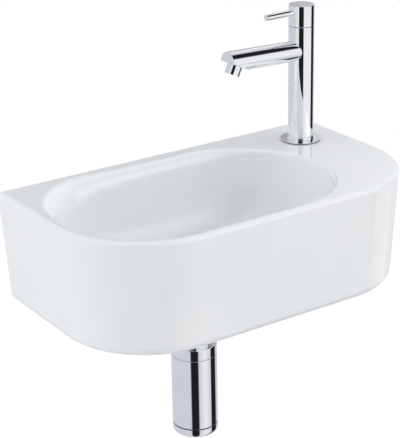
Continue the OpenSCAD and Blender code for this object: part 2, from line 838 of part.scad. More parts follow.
module lever_hub() {
    color("#c9ccd0") difference() {
        at_tap(0) rotate_extrude() polygon([
            [0, hub_z],
            [column_r, hub_z],
            [column_r, hub_z + hub_h - hub_bevel],
            [column_r - hub_bevel, hub_z + hub_h],
            [0, hub_z + hub_h],
        ]);
        at_tap(hub_z - overcut) cylinder(d = spline_d, h = spline_top - hub_z + overcut);
        at_tap(lever_z) rotate([0, 90, 0]) translate([0, 0, column_r - tenon_l])
            cylinder(r = tenon_r + fit_gap, h = 2 * tenon_l, $fn = 48);
        at_tap(grub_z) rotate([0, -90, 0]) cylinder(r = grub_r + fit_gap, h = column_d, $fn = 32);
    }
}

// Rod whose shoulder follows the hub's round, with a tenon into the hub
module lever_rod() {
    color("#c9ccd0") at_tap(lever_z) difference() {
        rotate([0, 90, 0]) union() {
            translate([0, 0, column_r - tenon_l + tenon_gap])
                cylinder(r = tenon_r, h = 2 * tenon_l, $fn = 48);
            translate([0, 0, column_r - rod_overlap])
                cylinder(d = lever_d, h = lever_reach - column_r + rod_overlap, $fn = 48);
        }
        difference() {
            translate([0, 0, -lever_d]) cylinder(r = column_r + fit_gap, h = 2 * lever_d);
            rotate([0, 90, 0]) cylinder(r = tenon_r, h = 2 * column_r, $fn = 48);
        }
    }
}

module hub_grub_screw() {
    color("#3a3b3f") at_tap(grub_z) rotate([0, -90, 0]) difference() {
        translate([0, 0, spline_d / 2])
            cylinder(r = grub_r, h = column_r - grub_sunk - spline_d / 2, $fn = 32);
        translate([0, 0, column_r - grub_sunk - grub_socket_l])
            cylinder(r = grub_socket_r, h = grub_socket_l + overcut, $fn = 6);
    }
}

module trap_union_nut() {
    color("#c9ccd0") at_drain(0) rotate_extrude() polygon([
        [waste_d / 2 + fit_gap, union_z],
        [trap_r - edge_bevel, union_z],
        [trap_r, union_z - edge_bevel],
        [trap_r, union_low],
        [neck_r + run_gap, union_low],
        [neck_r + run_gap, union_low + union_lip_t],
        [waste_d / 2 + fit_gap, union_low + union_lip_t],
    ]);
}

module trap_union_seal() {
    seal_low = collar_top + run_gap / 2;
    color("#26272b") at_drain(seal_low)
        ring(collar_r, waste_bore / 2 + end_gap, waste_end - seal_low);
}

// Turned body: collar under the union nut, neck, shoulder and wall, with the outlet tube
module trap_body() {
    color("#c9ccd0") difference() {
        union() {
            at_drain(0) rotate_extrude() polygon([
                [dip_r + fit_gap, body_top - shoulder_t],
                [dip_r + fit_gap, collar_top - dip_flange_t],
                [dip_flange_r + fit_gap, collar_top - dip_flange_t],
                [dip_flange_r + fit_gap, collar_top],
                [collar_r, collar_top],
                [collar_r, collar_low],
                [neck_r, collar_low],
                [neck_r, body_top],
                [trap_r, body_top],
                [trap_r, body_low],
                [trap_inner_r, body_low],
                [trap_inner_r, body_top - shoulder_t],
            ]);
            at_trap_outlet() translate([0, 0, outlet_root])
                cylinder(r = outlet_tube_r, h = outlet_reach - outlet_root);
        }
        at_drain(body_low - overcut)
            cylinder(r = trap_inner_r, h = trap_h - shoulder_t + overcut);
        at_trap_outlet() cylinder(d = outlet_throat, h = outlet_reach);
        at_trap_outlet() translate([0, 0, outlet_reach - outlet_socket_l])
            cylinder(d = outlet_bore, h = outlet_socket_l + overcut);
    }
}

// Carries the water below the outlet's level, and hangs in the neck by its flange
module trap_dip_tube() {
    flange_low = collar_top - dip_flange_t;
    color("#d9dadb") at_drain(0) rotate_extrude() polygon([
        [dip_r - dip_wall, dip_low],
        [dip_r, dip_low],
        [dip_r, flange_low],
        [dip_flange_r, flange_low],
        [dip_flange_r, collar_top - fit_gap],
        [dip_r - dip_wall, collar_top - fit_gap],
    ]);
}

module trap_outlet_nut() {
    start = outlet_reach + outlet_seal_l + outlet_lip - outlet_nut_l;
    color("#c9ccd0") at_trap_outlet() rotate_extrude() polygon([
        [outlet_tube_r + fit_gap, start],
        [outlet_nut_r - edge_bevel, start],
        [outlet_nut_r, start + edge_bevel],
        [outlet_nut_r, start + outlet_nut_l - edge_bevel],
        [outlet_nut_r - edge_bevel, start + outlet_nut_l],
        [outlet_bore / 2 + run_gap, start + outlet_nut_l],
        [outlet_bore / 2 + run_gap, outlet_reach + outlet_seal_l],
        [outlet_tube_r + fit_gap, outlet_reach + outlet_seal_l],
    ]);
}

module trap_outlet_seal() {
    color("#26272b") at_trap_outlet() translate([0, 0, outlet_reach])
        ring(outlet_tube_r, outlet_bore / 2, outlet_seal_l);
}

// Cap with a rounded lower edge and a thread that screws up into the body
module trap_cup() {
    bore_r = cup_thread_r - cup_wall;
    floor_top = cup_low + cup_floor_t;
    color("#c9ccd0") at_drain(0) rotate_extrude() polygon(concat(
        [[0, cup_low]],
        arc([trap_r - cup_r, cup_low + cup_r], cup_r, -90, 0, 8),
        [
            [trap_r, cup_top],
            [cup_thread_r, cup_top],
            [cup_thread_r, cup_thread_top],
            [bore_r, cup_thread_top],
            [bore_r, floor_top + cup_fillet],
            [bore_r - 2 * cup_fillet, floor_top],
            [0, floor_top],
        ]
    ));
}

module trap_cup_seal() {
    color("#26272b") at_drain(cup_top)
        ring(cup_seal_r, cup_thread_r + fit_gap, cup_seal_t - cup_seal_gap);
}

basin();
waste_body();
waste_strainer();
waste_top_seal();
waste_lower_seal();
waste_washer();
waste_nut();
tap_column();
tap_flange();
tap_base_seal();
tap_spout();
aerator_shell();
aerator_insert();
aerator_gasket();
tap_shank();
shank_rubber_washer();
shank_metal_washer();
shank_nut();
cartridge_body();
cartridge_seat_seal();
cartridge_fixed_disc();
cartridge_moving_disc();
cartridge_spindle();
spindle_o_ring();
lever_hub();
lever_rod();
hub_grub_screw();
trap_union_nut();
trap_union_seal();
trap_body();
trap_dip_tube();
trap_outlet_nut();
trap_outlet_seal();
trap_cup();
trap_cup_seal();
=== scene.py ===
# %% [markdown]
# # A cloakroom basin with a pillar tap and a bottle trap
# This lesson dresses a small wall-hung basin: a glazed bowl, a chrome tap, a waste and a trap.
# The construction model is loaded first as a fixed frame, and every new piece is put where its
# solid already is. All lengths below are millimetres on the real object, turned to metres on use.

# %% Load the frame
import json
import math

import bpy
from mathutils import Matrix, Vector


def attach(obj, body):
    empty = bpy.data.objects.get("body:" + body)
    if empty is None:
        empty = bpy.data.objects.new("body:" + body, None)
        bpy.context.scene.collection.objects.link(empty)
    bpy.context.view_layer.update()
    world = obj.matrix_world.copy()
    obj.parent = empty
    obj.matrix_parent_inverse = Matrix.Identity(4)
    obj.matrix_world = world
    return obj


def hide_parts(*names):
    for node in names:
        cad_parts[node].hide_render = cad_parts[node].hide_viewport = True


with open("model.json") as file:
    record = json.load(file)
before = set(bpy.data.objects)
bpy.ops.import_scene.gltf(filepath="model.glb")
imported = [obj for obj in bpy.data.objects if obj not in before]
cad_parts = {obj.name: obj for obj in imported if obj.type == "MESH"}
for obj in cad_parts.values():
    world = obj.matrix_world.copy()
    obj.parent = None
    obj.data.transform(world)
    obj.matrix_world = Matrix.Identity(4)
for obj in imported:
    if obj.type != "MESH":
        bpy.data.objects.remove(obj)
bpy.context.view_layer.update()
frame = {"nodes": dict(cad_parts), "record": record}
MM = 0.001
bpy.context.scene.view_settings.view_transform = "Standard"

# %% [markdown]
# The main sizes of the real object. The origin is on the wall, midway between the fixing holes.

# %% Main sizes
RIM_Z = 65.0
BASIN_W, BASIN_D, BASIN_H, BOWL_DEPTH = 400.0, 220.0, 122.0, 90.0
FOOT_Z, BASIN_FLOOR = RIM_Z - BASIN_H, RIM_Z - BOWL_DEPTH
DRAIN = (-40.0, -111.0)
TAP = (149.0, -49.5)
TAP_TURN = 182.5
# Pieces that are pushed or screwed together lie this far apart
FIT = 0.05
print("rim to foot:", BASIN_H, "mm, drain at", DRAIN, "tap at", TAP)

# %% [markdown]
# ## The camera
# The photograph is taken from the left front and a little above, with a long lens, so that the
# basin's sides stay almost parallel. The same view is set here from its turn, height and distance.

# %% Camera
# The lens is given in pixels of the photograph, which is 438 pixels high
SENSOR, LENS_PIXELS, PHOTO_PIXELS = 36, 1456.22, 438


def towards(turn, height):
    """Unit vector from a compass turn, where 0 is the front, and a height, both in degrees."""
    turn, height = math.radians(turn), math.radians(height)
    return Vector((
        math.sin(turn) * math.cos(height), -math.cos(turn) * math.cos(height), math.sin(height)
    ))


def look_matrix(turn, height, roll, aside, lift, distance, target_z):
    """Matrix of a camera that looks at the object. Lengths are in mm and angles in degrees."""
    back = towards(turn, height)
    roll = math.radians(roll)
    right = (-back).cross(Vector((0, 0, 1))).normalized()
    up = right.cross(-back)
    side = math.cos(roll) * right + math.sin(roll) * up
    top = -math.sin(roll) * right + math.cos(roll) * up
    place = back * distance + side * aside + top * lift + Vector((0, 0, target_z))
    rows = Matrix((side, top, back)).transposed().to_4x4()
    return Matrix.Translation(place * MM) @ rows


bpy.ops.object.select_all(action="DESELECT")
bpy.ops.object.camera_add()
camera = bpy.context.object
camera.name = "product_camera"
camera.matrix_world = look_matrix(
    turn=-33.83, height=21.58, roll=-1.13, aside=39.12, lift=-70.85, distance=1578.27,
    target_z=RIM_Z,
)
camera.data.sensor_width = SENSOR
camera.data.lens = LENS_PIXELS * SENSOR / PHOTO_PIXELS
bpy.context.scene.camera = camera
print("camera at", tuple(round(v, 3) for v in camera.location), "lens", round(camera.data.lens, 1))

# %% [markdown]
# ## Small helpers
# Most of these pieces are turned on a lathe, so one helper makes them all: a circle is extruded
# and scaled through the rings of a profile, just as one would do by hand with E and S.

# %% Selecting and placing
def deselect_all():
    """Leaves object mode with nothing selected."""
    if bpy.context.object and bpy.context.object.mode != "OBJECT":
        bpy.ops.object.mode_set(mode="OBJECT")
    bpy.ops.object.select_all(action="DESELECT")


def pick(piece):
    """Makes one piece the only selected and active one."""
    deselect_all()
    piece.select_set(True)
    bpy.context.view_layer.objects.active = piece


def open_mesh(piece):
    """Goes into a piece's mesh, with all of it selected."""
    pick(piece)
    bpy.ops.object.mode_set(mode="EDIT")
    bpy.ops.mesh.select_all(action="SELECT")


def settle(piece, place=None):
    """Moves a piece to its place and writes that into its mesh, so its object sits at the origin."""
    if place is not None:
        piece.matrix_world = place @ piece.matrix_world
    pick(piece)
    bpy.ops.object.transform_apply(location=True, rotation=True, scale=True)
    return piece


def moved(x, y, z):
    """A move in millimetres."""
    return Matrix.Translation(Vector((x, y, z)) * MM)


def turned(degrees, axis="Y"):
    """A turn about an axis. About Y, it swings Z towards X."""
    return Matrix.Rotation(math.radians(degrees), 4, axis)


def at_tap(z=0.0):
    """Frame of the tap: Z up its column, X towards the spout."""
    return moved(*TAP, z) @ turned(TAP_TURN, "Z")


def at_drain(z=0.0):
    """Frame of the drain: Z up its axis."""
    return moved(*DRAIN, z)


print("tap frame X:", tuple(round(v, 4) for v in at_tap().col[0][:3]))

# %% Turning a profile
ROUND_STEPS = 128
# Points closer than this many metres become one
MERGE_DISTANCE = 1e-6


def lathe(name, profile, closed=True):
    """Turns a list of (radius, height) rings. An open profile gets a flat cap at each end."""
    deselect_all()
    first_r, first_z = profile[0]
    bpy.ops.mesh.primitive_circle_add(
        vertices=ROUND_STEPS, radius=first_r * MM, location=(0, 0, first_z * MM)
    )
    piece = bpy.context.object
    piece.name = name
    settle(piece)
    open_mesh(piece)
    rings = list(profile) + ([profile[0]] if closed else [])
    for (r0, z0), (r1, z1) in zip(rings, rings[1:]):
        bpy.ops.mesh.extrude_region_move(TRANSFORM_OT_translate={"value": (0, 0, (z1 - z0) * MM)})
        if r0 != r1:
            bpy.ops.transform.resize(value=(r1 / r0, r1 / r0, 1), center_override=(0, 0, 0))
    bpy.ops.mesh.select_all(action="SELECT")
    if closed:
        bpy.ops.mesh.remove_doubles(threshold=MERGE_DISTANCE)
    else:
        bpy.ops.mesh.fill_holes(sides=0)
    bpy.ops.mesh.normals_make_consistent(inside=False)
    bpy.ops.object.mode_set(mode="OBJECT")
    return piece


def arc(centre_r, centre_z, radius, start, end, parts):
    """Points of an arc in a profile, from one angle to another in degrees."""
    angles = [math.radians(start + (end - start) * i / parts) for i in range(parts + 1)]
    return [(centre_r + radius * math.cos(a), centre_z + radius * math.sin(a)) for a in angles]


# %% Modifiers and cuts
# Edges that turn by more degrees than this are broken, and stay sharp in the shading
SHARP = 32


def finish_with(piece, kind, **settings):
    """Adds one modifier to a piece, sets it and applies it."""
    pick(piece)
    bpy.ops.object.modifier_add(type=kind)
    modifier = piece.modifiers[-1]
    for key, value in settings.items():
        setattr(modifier, key, value)
    bpy.ops.object.modifier_apply(modifier=modifier.name)
    return piece


def cut(piece, tool, operation="DIFFERENCE"):
    """Cuts a piece with another one, or joins them, and removes the tool with its mesh."""
    finish_with(piece, "BOOLEAN", operation=operation, object=tool, solver="EXACT")
    bpy.data.meshes.remove(tool.data)
    return piece


def trim(point, outwards):
    """Cuts off flat what lies past a plane in the open mesh, and closes the cut."""
    bpy.ops.mesh.select_all(action="SELECT")
    bpy.ops.mesh.bisect(plane_co=point, plane_no=outwards, use_fill=True, clear_outer=True)


def cylinder(radius, low, high, place=None, sides=96):
    """A plain cylinder used as a cutting tool or as the start of a piece."""
    deselect_all()
    bpy.ops.mesh.primitive_cylinder_add(
        vertices=sides, radius=radius * MM, depth=(high - low) * MM,
        location=(0, 0, (low + high) / 2 * MM),
    )
    return settle(bpy.context.object, place)


def break_edges(piece, width, segments=3, angle=SHARP, clamp=True):
    """Rounds every sharp edge a little, as polishing does on the real piece."""
    return finish_with(
        piece, "BEVEL", width=width * MM, segments=segments, limit_method="ANGLE",
        angle_limit=math.radians(angle), use_clamp_overlap=clamp,
    )


def smooth(piece, angle):
    """Shades a piece smooth, but keeps its sharp edges and its flat faces true."""
    pick(piece)
    bpy.ops.object.shade_smooth_by_angle(angle=math.radians(angle))
    return finish_with(piece, "WEIGHTED_NORMAL", keep_sharp=True, weight=80)


# %% [markdown]
# ## Materials
# Each material starts from what the real one is. Colours are written as on a screen and turned
# to Blender's linear values by one function, and a few more functions add nodes.

# %% Node helpers
def colour(hex_code):
    """Linear colour from an sRGB hex code."""
    parts = [int(hex_code[i:i + 2], 16) / 255 for i in (1, 3, 5)]
    linear = [v / 12.92 if v <= 0.04045 else ((v + 0.055) / 1.055) ** 2.4 for v in parts]
    return (*linear, 1.0)


def add_node(tree, kind, options=None, values=None, links=None):
    """Adds one shader node, sets its options and values, and links its inputs."""
    made = tree.nodes.new("ShaderNode" + kind)
    for key, value in (options or {}).items():
        setattr(made, key, value)
    for key, value in (values or {}).items():
        made.inputs[key].default_value = value
    for key, source in (links or {}).items():
        tree.links.new(source, made.inputs[key])
    return made


def maths(tree, operation, *terms):
    """The result of a Math node. Each term is a socket or a plain number."""
    made = add_node(tree, "Math", {"operation": operation})
    for place, term in enumerate(terms):
        if isinstance(term, float):
            made.inputs[place].default_value = term
        else:
            tree.links.new(term, made.inputs[place])
    return made.outputs["Value"]


def new_material(name, **values):
    """A material with one Principled shader, whose plain values are set on its own sockets."""
    made = bpy.data.materials.new(name)
    made.use_nodes = True
    shader = made.node_tree.nodes["Principled BSDF"]
    for key, value in values.items():
        shader.inputs[key.replace("_", " ")].default_value = value
    return made, made.node_tree, shader


# %% Helpers for surfaces
# Most of the noise lies in this range
NOISE_LOW, NOISE_HIGH = 0.3, 0.7


def noise(tree, size_mm, detail=3.0, stretch=(1, 1, 1)):
    """Noise on Object coordinates, with grains of a real size."""
    coords = add_node(tree, "TexCoord")
    mapping = add_node(
        tree, "Mapping", values={"Scale": stretch}, links={"Vector": coords.outputs["Object"]}
    )
    return add_node(
        tree, "TexNoise", values={"Scale": 1 / (size_mm * MM), "Detail": detail},
        links={"Vector": mapping.outputs["Vector"]},
    ).outputs["Fac"]


def tint(tree, shader, source, first, second):
    """Colours the shader between two close tones."""
    ramp = add_node(tree, "ValToRGB", links={"Fac": source})
    ramp.color_ramp.elements[0].position = NOISE_LOW
    ramp.color_ramp.elements[0].color = colour(first)
    ramp.color_ramp.elements[1].position = NOISE_HIGH
    ramp.color_ramp.elements[1].color = colour(second)
    tree.links.new(ramp.outputs["Color"], shader.inputs["Base Color"])


def vary(tree, shader, source, low, high, socket="Roughness"):
    """Lets one value of the shader vary between two levels."""
    spread = add_node(
        tree, "MapRange",
        values={"From Min": NOISE_LOW, "From Max": NOISE_HIGH, "To Min": low, "To Max": high},
        links={"Value": source},
    )
    tree.links.new(spread.outputs["Result"], shader.inputs[socket])


def relief(tree, shader, source, height_mm, strength=1.0, socket="Normal"):
    """Raises the surface by a real height."""
    bump = add_node(
        tree, "Bump", values={"Distance": height_mm * MM, "Strength": strength},
        links={"Height": source},
    )
    tree.links.new(bump.outputs["Normal"], shader.inputs[socket])


# %% [markdown]
# **Glazed vitreous china.** White clay is fired under a clear glaze. The clay scatters light
# evenly, and the glaze lies over it as a thin glass coat with very slight waves from the firing,
# a few millimetres long. So the body is rough and the coat is smooth. The tone varies a little
# where the glaze ran thicker.

# %% Ceramic materials
glazed_china, tree, shader = new_material(
    "glazed_vitreous_china", Roughness=0.35, IOR=1.5, Specular_IOR_Level=0.25, Coat_Weight=1.0,
    Coat_IOR=1.5,
)
tint(tree, shader, noise(tree, 90, 2.0), "#edf0f3", "#f0f2f4")
vary(tree, shader, noise(tree, 40, 2.0), 0.02, 0.045, "Coat Roughness")
relief(tree, shader, noise(tree, 7, 1.0), 0.012, 0.6, "Coat Normal")

# The back and the foot are ground flat and left without glaze: matt, off-white, finely grained.
bare_china, tree, shader = new_material("unglazed_ground_china", Roughness=0.85, IOR=1.5)
grain = noise(tree, 1.2, 4.0)
tint(tree, shader, grain, "#dcd9d2", "#e9e7e1")
relief(tree, shader, grain, 0.06)

# Cartridge discs are lapped alumina: creamy white, dense, with a low sheen.
lapped_alumina, tree, shader = new_material("lapped_alumina", IOR=1.76)
tint(tree, shader, noise(tree, 2.5), "#efece2", "#f6f4ec")
vary(tree, shader, noise(tree, 0.8), 0.22, 0.32)
print("ceramics:", glazed_china.name, bare_china.name, lapped_alumina.name)

# %% [markdown]
# **Polished chrome plate.** Brass is polished, nickelled and plated with a thin chrome layer. It
# mirrors the room with almost no tint. Buffing leaves the gloss slightly uneven, which shows as
# a faint difference in how sharp the reflections are.

# %% Metal materials
plate = colour("#f8f9fb")
chrome, tree, shader = new_material("polished_chrome_plate", Metallic=1.0, Base_Color=plate)
vary(tree, shader, noise(tree, 9, 2.0, (1, 1, 0.4)), 0.025, 0.05)

# Machined brass keeps fine turning marks about 0.3 mm apart, drawn across its axis.
brass, tree, shader = new_material("machined_brass", Metallic=1.0)
marks = noise(tree, 6, 2.0, (1, 1, 20))
tint(tree, shader, noise(tree, 5), "#b8955a", "#cdaa6c")
vary(tree, shader, marks, 0.2, 0.36)
relief(tree, shader, marks, 0.03)

# A stamped stainless washer is brushed grey.
stainless, tree, shader = new_material("brushed_stainless", Metallic=1.0)
brush = noise(tree, 2, 3.0, (1, 12, 1))
tint(tree, shader, brush, "#a9abad", "#c3c5c6")
vary(tree, shader, brush, 0.25, 0.4)

# The grub screw has a black oxide skin: very dark steel, half matt.
black_oxide, tree, shader = new_material("black_oxide_steel", Metallic=1.0)
tint(tree, shader, noise(tree, 0.8), "#2b2c2f", "#3a3b3f")
vary(tree, shader, noise(tree, 0.5), 0.35, 0.5)
print("metals:", chrome.name, brass.name, stainless.name, black_oxide.name)

# %% [markdown]
# **Rubber and plastics.** Sealing rings are moulded EPDM rubber, black with a dusty bloom. The
# waste washer and the aerator insert are moulded polyacetal, milky white with a soft sheen.

# %% Rubber and plastic materials
epdm_rubber, tree, shader = new_material("moulded_epdm_rubber", IOR=1.52)
bloom = noise(tree, 1.5, 4.0)
tint(tree, shader, bloom, "#161617", "#232325")
vary(tree, shader, bloom, 0.55, 0.75)
relief(tree, shader, bloom, 0.02)

polyacetal, tree, shader = new_material("moulded_polyacetal", IOR=1.48)
flow = noise(tree, 3, 3.0)
tint(tree, shader, flow, "#dfe0de", "#ebebe8")
vary(tree, shader, flow, 0.32, 0.42)
relief(tree, shader, flow, 0.01)
print("moulded:", epdm_rubber.name, polyacetal.name)

# %% [markdown]
# ## The basin
# The bowl, rim, outside wall and hollow underside are one skin. It is a loft: rings of points run
# from the bowl's floor, over the lip and the rim, down the outside and back up underneath. A grid
# with one row for each ring is added, and each point is set where its ring and its direction say.
# A direction is a point of the bowl's long oval with its outward angle.

# %% Directions round the bowl
BOWL_R = 92.5
TAP_DECK, LEFT_RIM, FRONT_RIM = 85.0, 15.0, 10.0
BOWL_Y = -(BASIN_D - FRONT_RIM - BOWL_R)
RIGHT_C = Vector((BASIN_W / 2 - TAP_DECK - BOWL_R, BOWL_Y))
LEFT_C = Vector((-BASIN_W / 2 + LEFT_RIM + BOWL_R, BOWL_Y))
# The skin is drawn this far past the wall plane, and cut off there later
WALL_OVER = 12.0
CORNER_R = 103.0
END_STEPS, CORNER_STEPS, STRAIGHT_STEPS = 96, 20, 16


def run(first, last, parts):
    """Evenly spaced values that leave out the last one."""
    return [first + (last - first) * i / parts for i in range(parts)]


def stations():
    """Directions round the bowl as (centre, degrees), anticlockwise from the front."""
    corner = math.degrees(math.atan2(WALL_OVER - BOWL_Y, BASIN_W / 2 - RIGHT_C.x))
    left_corner = math.degrees(math.atan2(WALL_OVER - BOWL_Y, -BASIN_W / 2 - LEFT_C.x))
    right = run(-90, corner, END_STEPS) + run(corner, 90, CORNER_STEPS)
    left = run(90, left_corner, CORNER_STEPS) + run(left_corner, 270, END_STEPS)
    along = run(0, 1, STRAIGHT_STEPS)
    back = [(RIGHT_C.lerp(LEFT_C, t), 90) for t in along]
    front = [(LEFT_C.lerp(RIGHT_C, t), 270) for t in along]
    return [(RIGHT_C, a) for a in right] + back + [(LEFT_C, a) for a in left] + front


STATIONS = stations()
print("directions round the bowl:", len(STATIONS))

# %% [markdown]
# The outside is a rectangle with two large front corners. From each direction, the distance to it
# is found along a straight line: first to the side or the front, then to the corner's arc.

# %% Distance to the outside
def heading(degrees):
    """Unit vector of an angle."""
    return Vector((math.cos(math.radians(degrees)), math.sin(math.radians(degrees))))


def to_line(start, step, limit):
    """Distance along a direction to a straight edge."""
    return math.inf if abs(step) < 1e-6 else (limit - start) / step


def outline_reach(station, inset, back_y):
    """Distance from a station's centre to the outline, moved in by inset."""
    centre, ray = station[0], heading(station[1])
    half, front = BASIN_W / 2 - inset, -(BASIN_D - inset)
    radius = CORNER_R - inset
    reach = min(
        to_line(centre.x, ray.x, half if ray.x > 0 else -half),
        to_line(centre.y, ray.y, back_y if ray.y > 0 else front),
    )
    hit = centre + reach * ray
    if abs(hit.x) > half - radius and hit.y < front + radius:
        from_arc = centre - Vector((math.copysign(half - radius, hit.x), front + radius))
        along = from_arc.dot(ray)
        reach = -along + math.sqrt(max(0, along ** 2 - from_arc.length_squared + radius ** 2))
    return reach


def outline_point(station, inset, back_y):
    """Point of the outline that a station looks at."""
    return station[0] + outline_reach(station, inset, back_y) * heading(station[1])


def bowl_point(station, out):
    """Point of the bowl's oval, moved outwards."""
    return station[0] + (BOWL_R + out) * heading(station[1])


print("reach at the front:", round(outline_reach(STATIONS[0], 0, WALL_OVER), 2))

# %% [markdown]
# The lip is tight at the front and soft at the back left, where the photograph shows the bowl
# rolling out to the ledge. Its radius is a sum of smooth bumps round the bowl, and where that is
# more than the rim has room for, it eases into the room there is, so that no crease shows.

# %% Lip and bowl sections
RIM_R = 5.0
# The lip's radius at the front, and what is added to it behind and at the back left
LIP_FRONT, LIP_BEHIND, LIP_BACK_LEFT = 4.0, 9.0, 18.0
# Where both are largest and how far they reach, in degrees, with a slide along the straight back
BEHIND_AT, BEHIND_REACH = 85, 45
BACK_LEFT_AT, REACH_BEFORE, REACH_AFTER, SLIDE = 120, 45, 85, 0.2
LEAST_LIP, LEAST_FLAT, EASE = 0.5, 0.3, 2.0
# How full the bowl's section is: 2 would be a quarter of an ellipse
FULLNESS = 2.8
BOWL_WALL, BOSS_T = 9.0, 18.0
BOSS_Z = BASIN_FLOOR - BOSS_T
FLOOR_R = 33.5
NUT_ACROSS = 54.0
BOSS_R = NUT_ACROSS / 2 / math.cos(math.radians(30)) + 6.0


def bump(angle, at, reach):
    """A smooth hill of height 1."""
    away = abs(angle - at)
    return (1 + math.cos(math.pi * away / reach)) / 2 if away < reach else 0.0


def lip(station):
    """Lip radius at a station. It eases into the room that the rim leaves."""
    angle = station[1]
    soft_reach = REACH_BEFORE if angle < BACK_LEFT_AT else REACH_AFTER
    soft_angle = angle - SLIDE * (station[0].x - LEFT_C.x)
    behind = LIP_BEHIND * bump(angle, BEHIND_AT, BEHIND_REACH)
    want = LIP_FRONT + behind + LIP_BACK_LEFT * bump(soft_angle, BACK_LEFT_AT, soft_reach)
    space = outline_reach(station, 0, 0) - BOWL_R - RIM_R - LEAST_FLAT
    return max(LEAST_LIP, (want + space - math.hypot(want - space, EASE)) / 2)


def section(share):
    """Across and down shares of the bowl's full section, from the wall to the drain."""
    angle = math.radians(90 * share)
    across = max(0.0, math.cos(angle)) ** (2 / FULLNESS)
    return across, math.sin(angle) ** (2 / FULLNESS)


def towards_drain(station, near, out, across):
    """Point between the drain's circle and the bowl's oval."""
    centre = Vector(DRAIN)
    spoke = (bowl_point(station, 0) - centre).normalized()
    return (centre + near * spoke) * (1 - across) + bowl_point(station, out) * across


def inside(station, share):
    """Point of the bowl's inner face."""
    across, down = section(share)
    radius = lip(station)
    where = towards_drain(station, FLOOR_R, 0, across)
    return (*where, RIM_Z - radius - (BOWL_DEPTH - radius) * down)


def underside(station, share):
    """Point of the bowl's outer face, above the hollow."""
    across, down = section(share)
    where = towards_drain(station, BOSS_R, BOWL_WALL, across)
    return (*where, RIM_Z - (RIM_Z - BOSS_Z) * down)


print("lip radius from", round(min(map(lip, STATIONS)), 1), "to", round(max(map(lip, STATIONS)), 1))

# %% [markdown]
# The hollow reaches up between the bowl and the skirt as far as there is room. The height is found
# by halving, then averaged with its neighbours so that no crease shows from below.

# %% Ceiling of the hollow
DECK_T, SKIRT_T, FOOT_INSET = 14.0, 11.0, 6.5
CEILING, CEILING_LOW = RIM_Z - DECK_T, BOSS_Z + 4.0
LEAST_ROOM, HALVINGS = 6.0, 12


def lean(z):
    """How far the outside leans in at a height."""
    return FOOT_INSET * (RIM_Z - z) / BASIN_H


def share_at(z):
    """Share of the under section at a height."""
    down = (RIM_Z - z) / (RIM_Z - BOSS_Z)
    return math.degrees(math.asin(down ** (FULLNESS / 2))) / 90


def room(station, z):
    """Space between the bowl and the skirt at a height."""
    x, y, _ = underside(station, share_at(z))
    skirt = outline_reach(station, SKIRT_T + lean(z), -SKIRT_T)
    return skirt - (Vector((x, y)) - station[0]).dot(heading(station[1]))


def ceiling(station):
    """Highest level that leaves the least room."""
    low, high = CEILING_LOW, CEILING
    if room(station, high) >= LEAST_ROOM:
        return high
    for _ in range(HALVINGS):
        middle = (low + high) / 2
        low, high = (middle, high) if room(station, middle) >= LEAST_ROOM else (low, middle)
    return low


def evened(levels, reach):
    """Each level averaged with its neighbours round the ring, on both sides as far as reach."""
    count = len(levels)
    near = range(-reach, reach + 1)
    return [sum(levels[(i + k) % count] for k in near) / len(near) for i in range(count)]


CEILINGS = evened([ceiling(s) for s in STATIONS], reach=3)
print("hollow rises to between", round(min(CEILINGS), 1), "and", round(max(CEILINGS), 1))

# %% Rings of the basin's skin
BOWL_RINGS, LIP_RINGS, RIM_RINGS, WALL_RINGS, FOOT_RINGS, UNDER_RINGS = 30, 12, 8, 8, 6, 14
FOOT_R = 10.0


def rounded(station, inset, radius, angle, level, up):
    """Point of a rounded outer edge, at an angle from its flat to its side."""
    turn = math.radians(angle)
    where = outline_point(station, inset + radius * (1 - math.cos(turn)), WALL_OVER)
    return (*where, level + up * radius * (1 - math.sin(turn)))


def skin_rings():
    """All rings, from the bowl's floor over the rim to the underside's floor."""
    made = [[inside(s, j / BOWL_RINGS) for s in STATIONS] for j in range(BOWL_RINGS, 0, -1)]
    for j in range(LIP_RINGS, -1, -1):
        a = math.radians(90 * j / LIP_RINGS)
        made.append([
            (*bowl_point(s, lip(s) * (1 - math.sin(a))), RIM_Z - lip(s) * (1 - math.cos(a)))
            for s in STATIONS
        ])
    for j in range(RIM_RINGS, -1, -1):
        made.append([rounded(s, 0, RIM_R, 90 * j / RIM_RINGS, RIM_Z, -1) for s in STATIONS])
    wall_top, wall_low = RIM_Z - RIM_R, FOOT_Z + FOOT_R
    for j in range(1, WALL_RINGS):
        share = j / WALL_RINGS
        z = wall_top + (wall_low - wall_top) * share
        made.append([(*outline_point(s, FOOT_INSET * share, WALL_OVER), z) for s in STATIONS])
    for j in range(FOOT_RINGS + 1):
        angle = 90 * j / FOOT_RINGS
        made.append([rounded(s, FOOT_INSET, FOOT_R, angle, FOOT_Z, 1) for s in STATIONS])
    made.append([(*outline_point(s, FOOT_INSET + SKIRT_T, -SKIRT_T), FOOT_Z) for s in STATIONS])
    made.append([
        (*outline_point(s, SKIRT_T + lean(z), -SKIRT_T), z) for s, z in zip(STATIONS, CEILINGS)
    ])
    starts = [share_at(z) for z in CEILINGS]
    for j in range(UNDER_RINGS + 1):
        made.append([
            underside(s, start + (1 - start) * j / UNDER_RINGS)
            for s, start in zip(STATIONS, starts)
        ])
    return made


RINGS = skin_rings()
print("rings:", len(RINGS), "of", len(RINGS[0]), "points")

# %% [markdown]
# A grid with a row for each ring and a column for each direction is added and its points are set.
# Its first and last columns meet, so they are merged, and both ends are closed. What reaches past
# the wall plane is cut off flat, and the holes are cut as they are drilled in the soft clay.

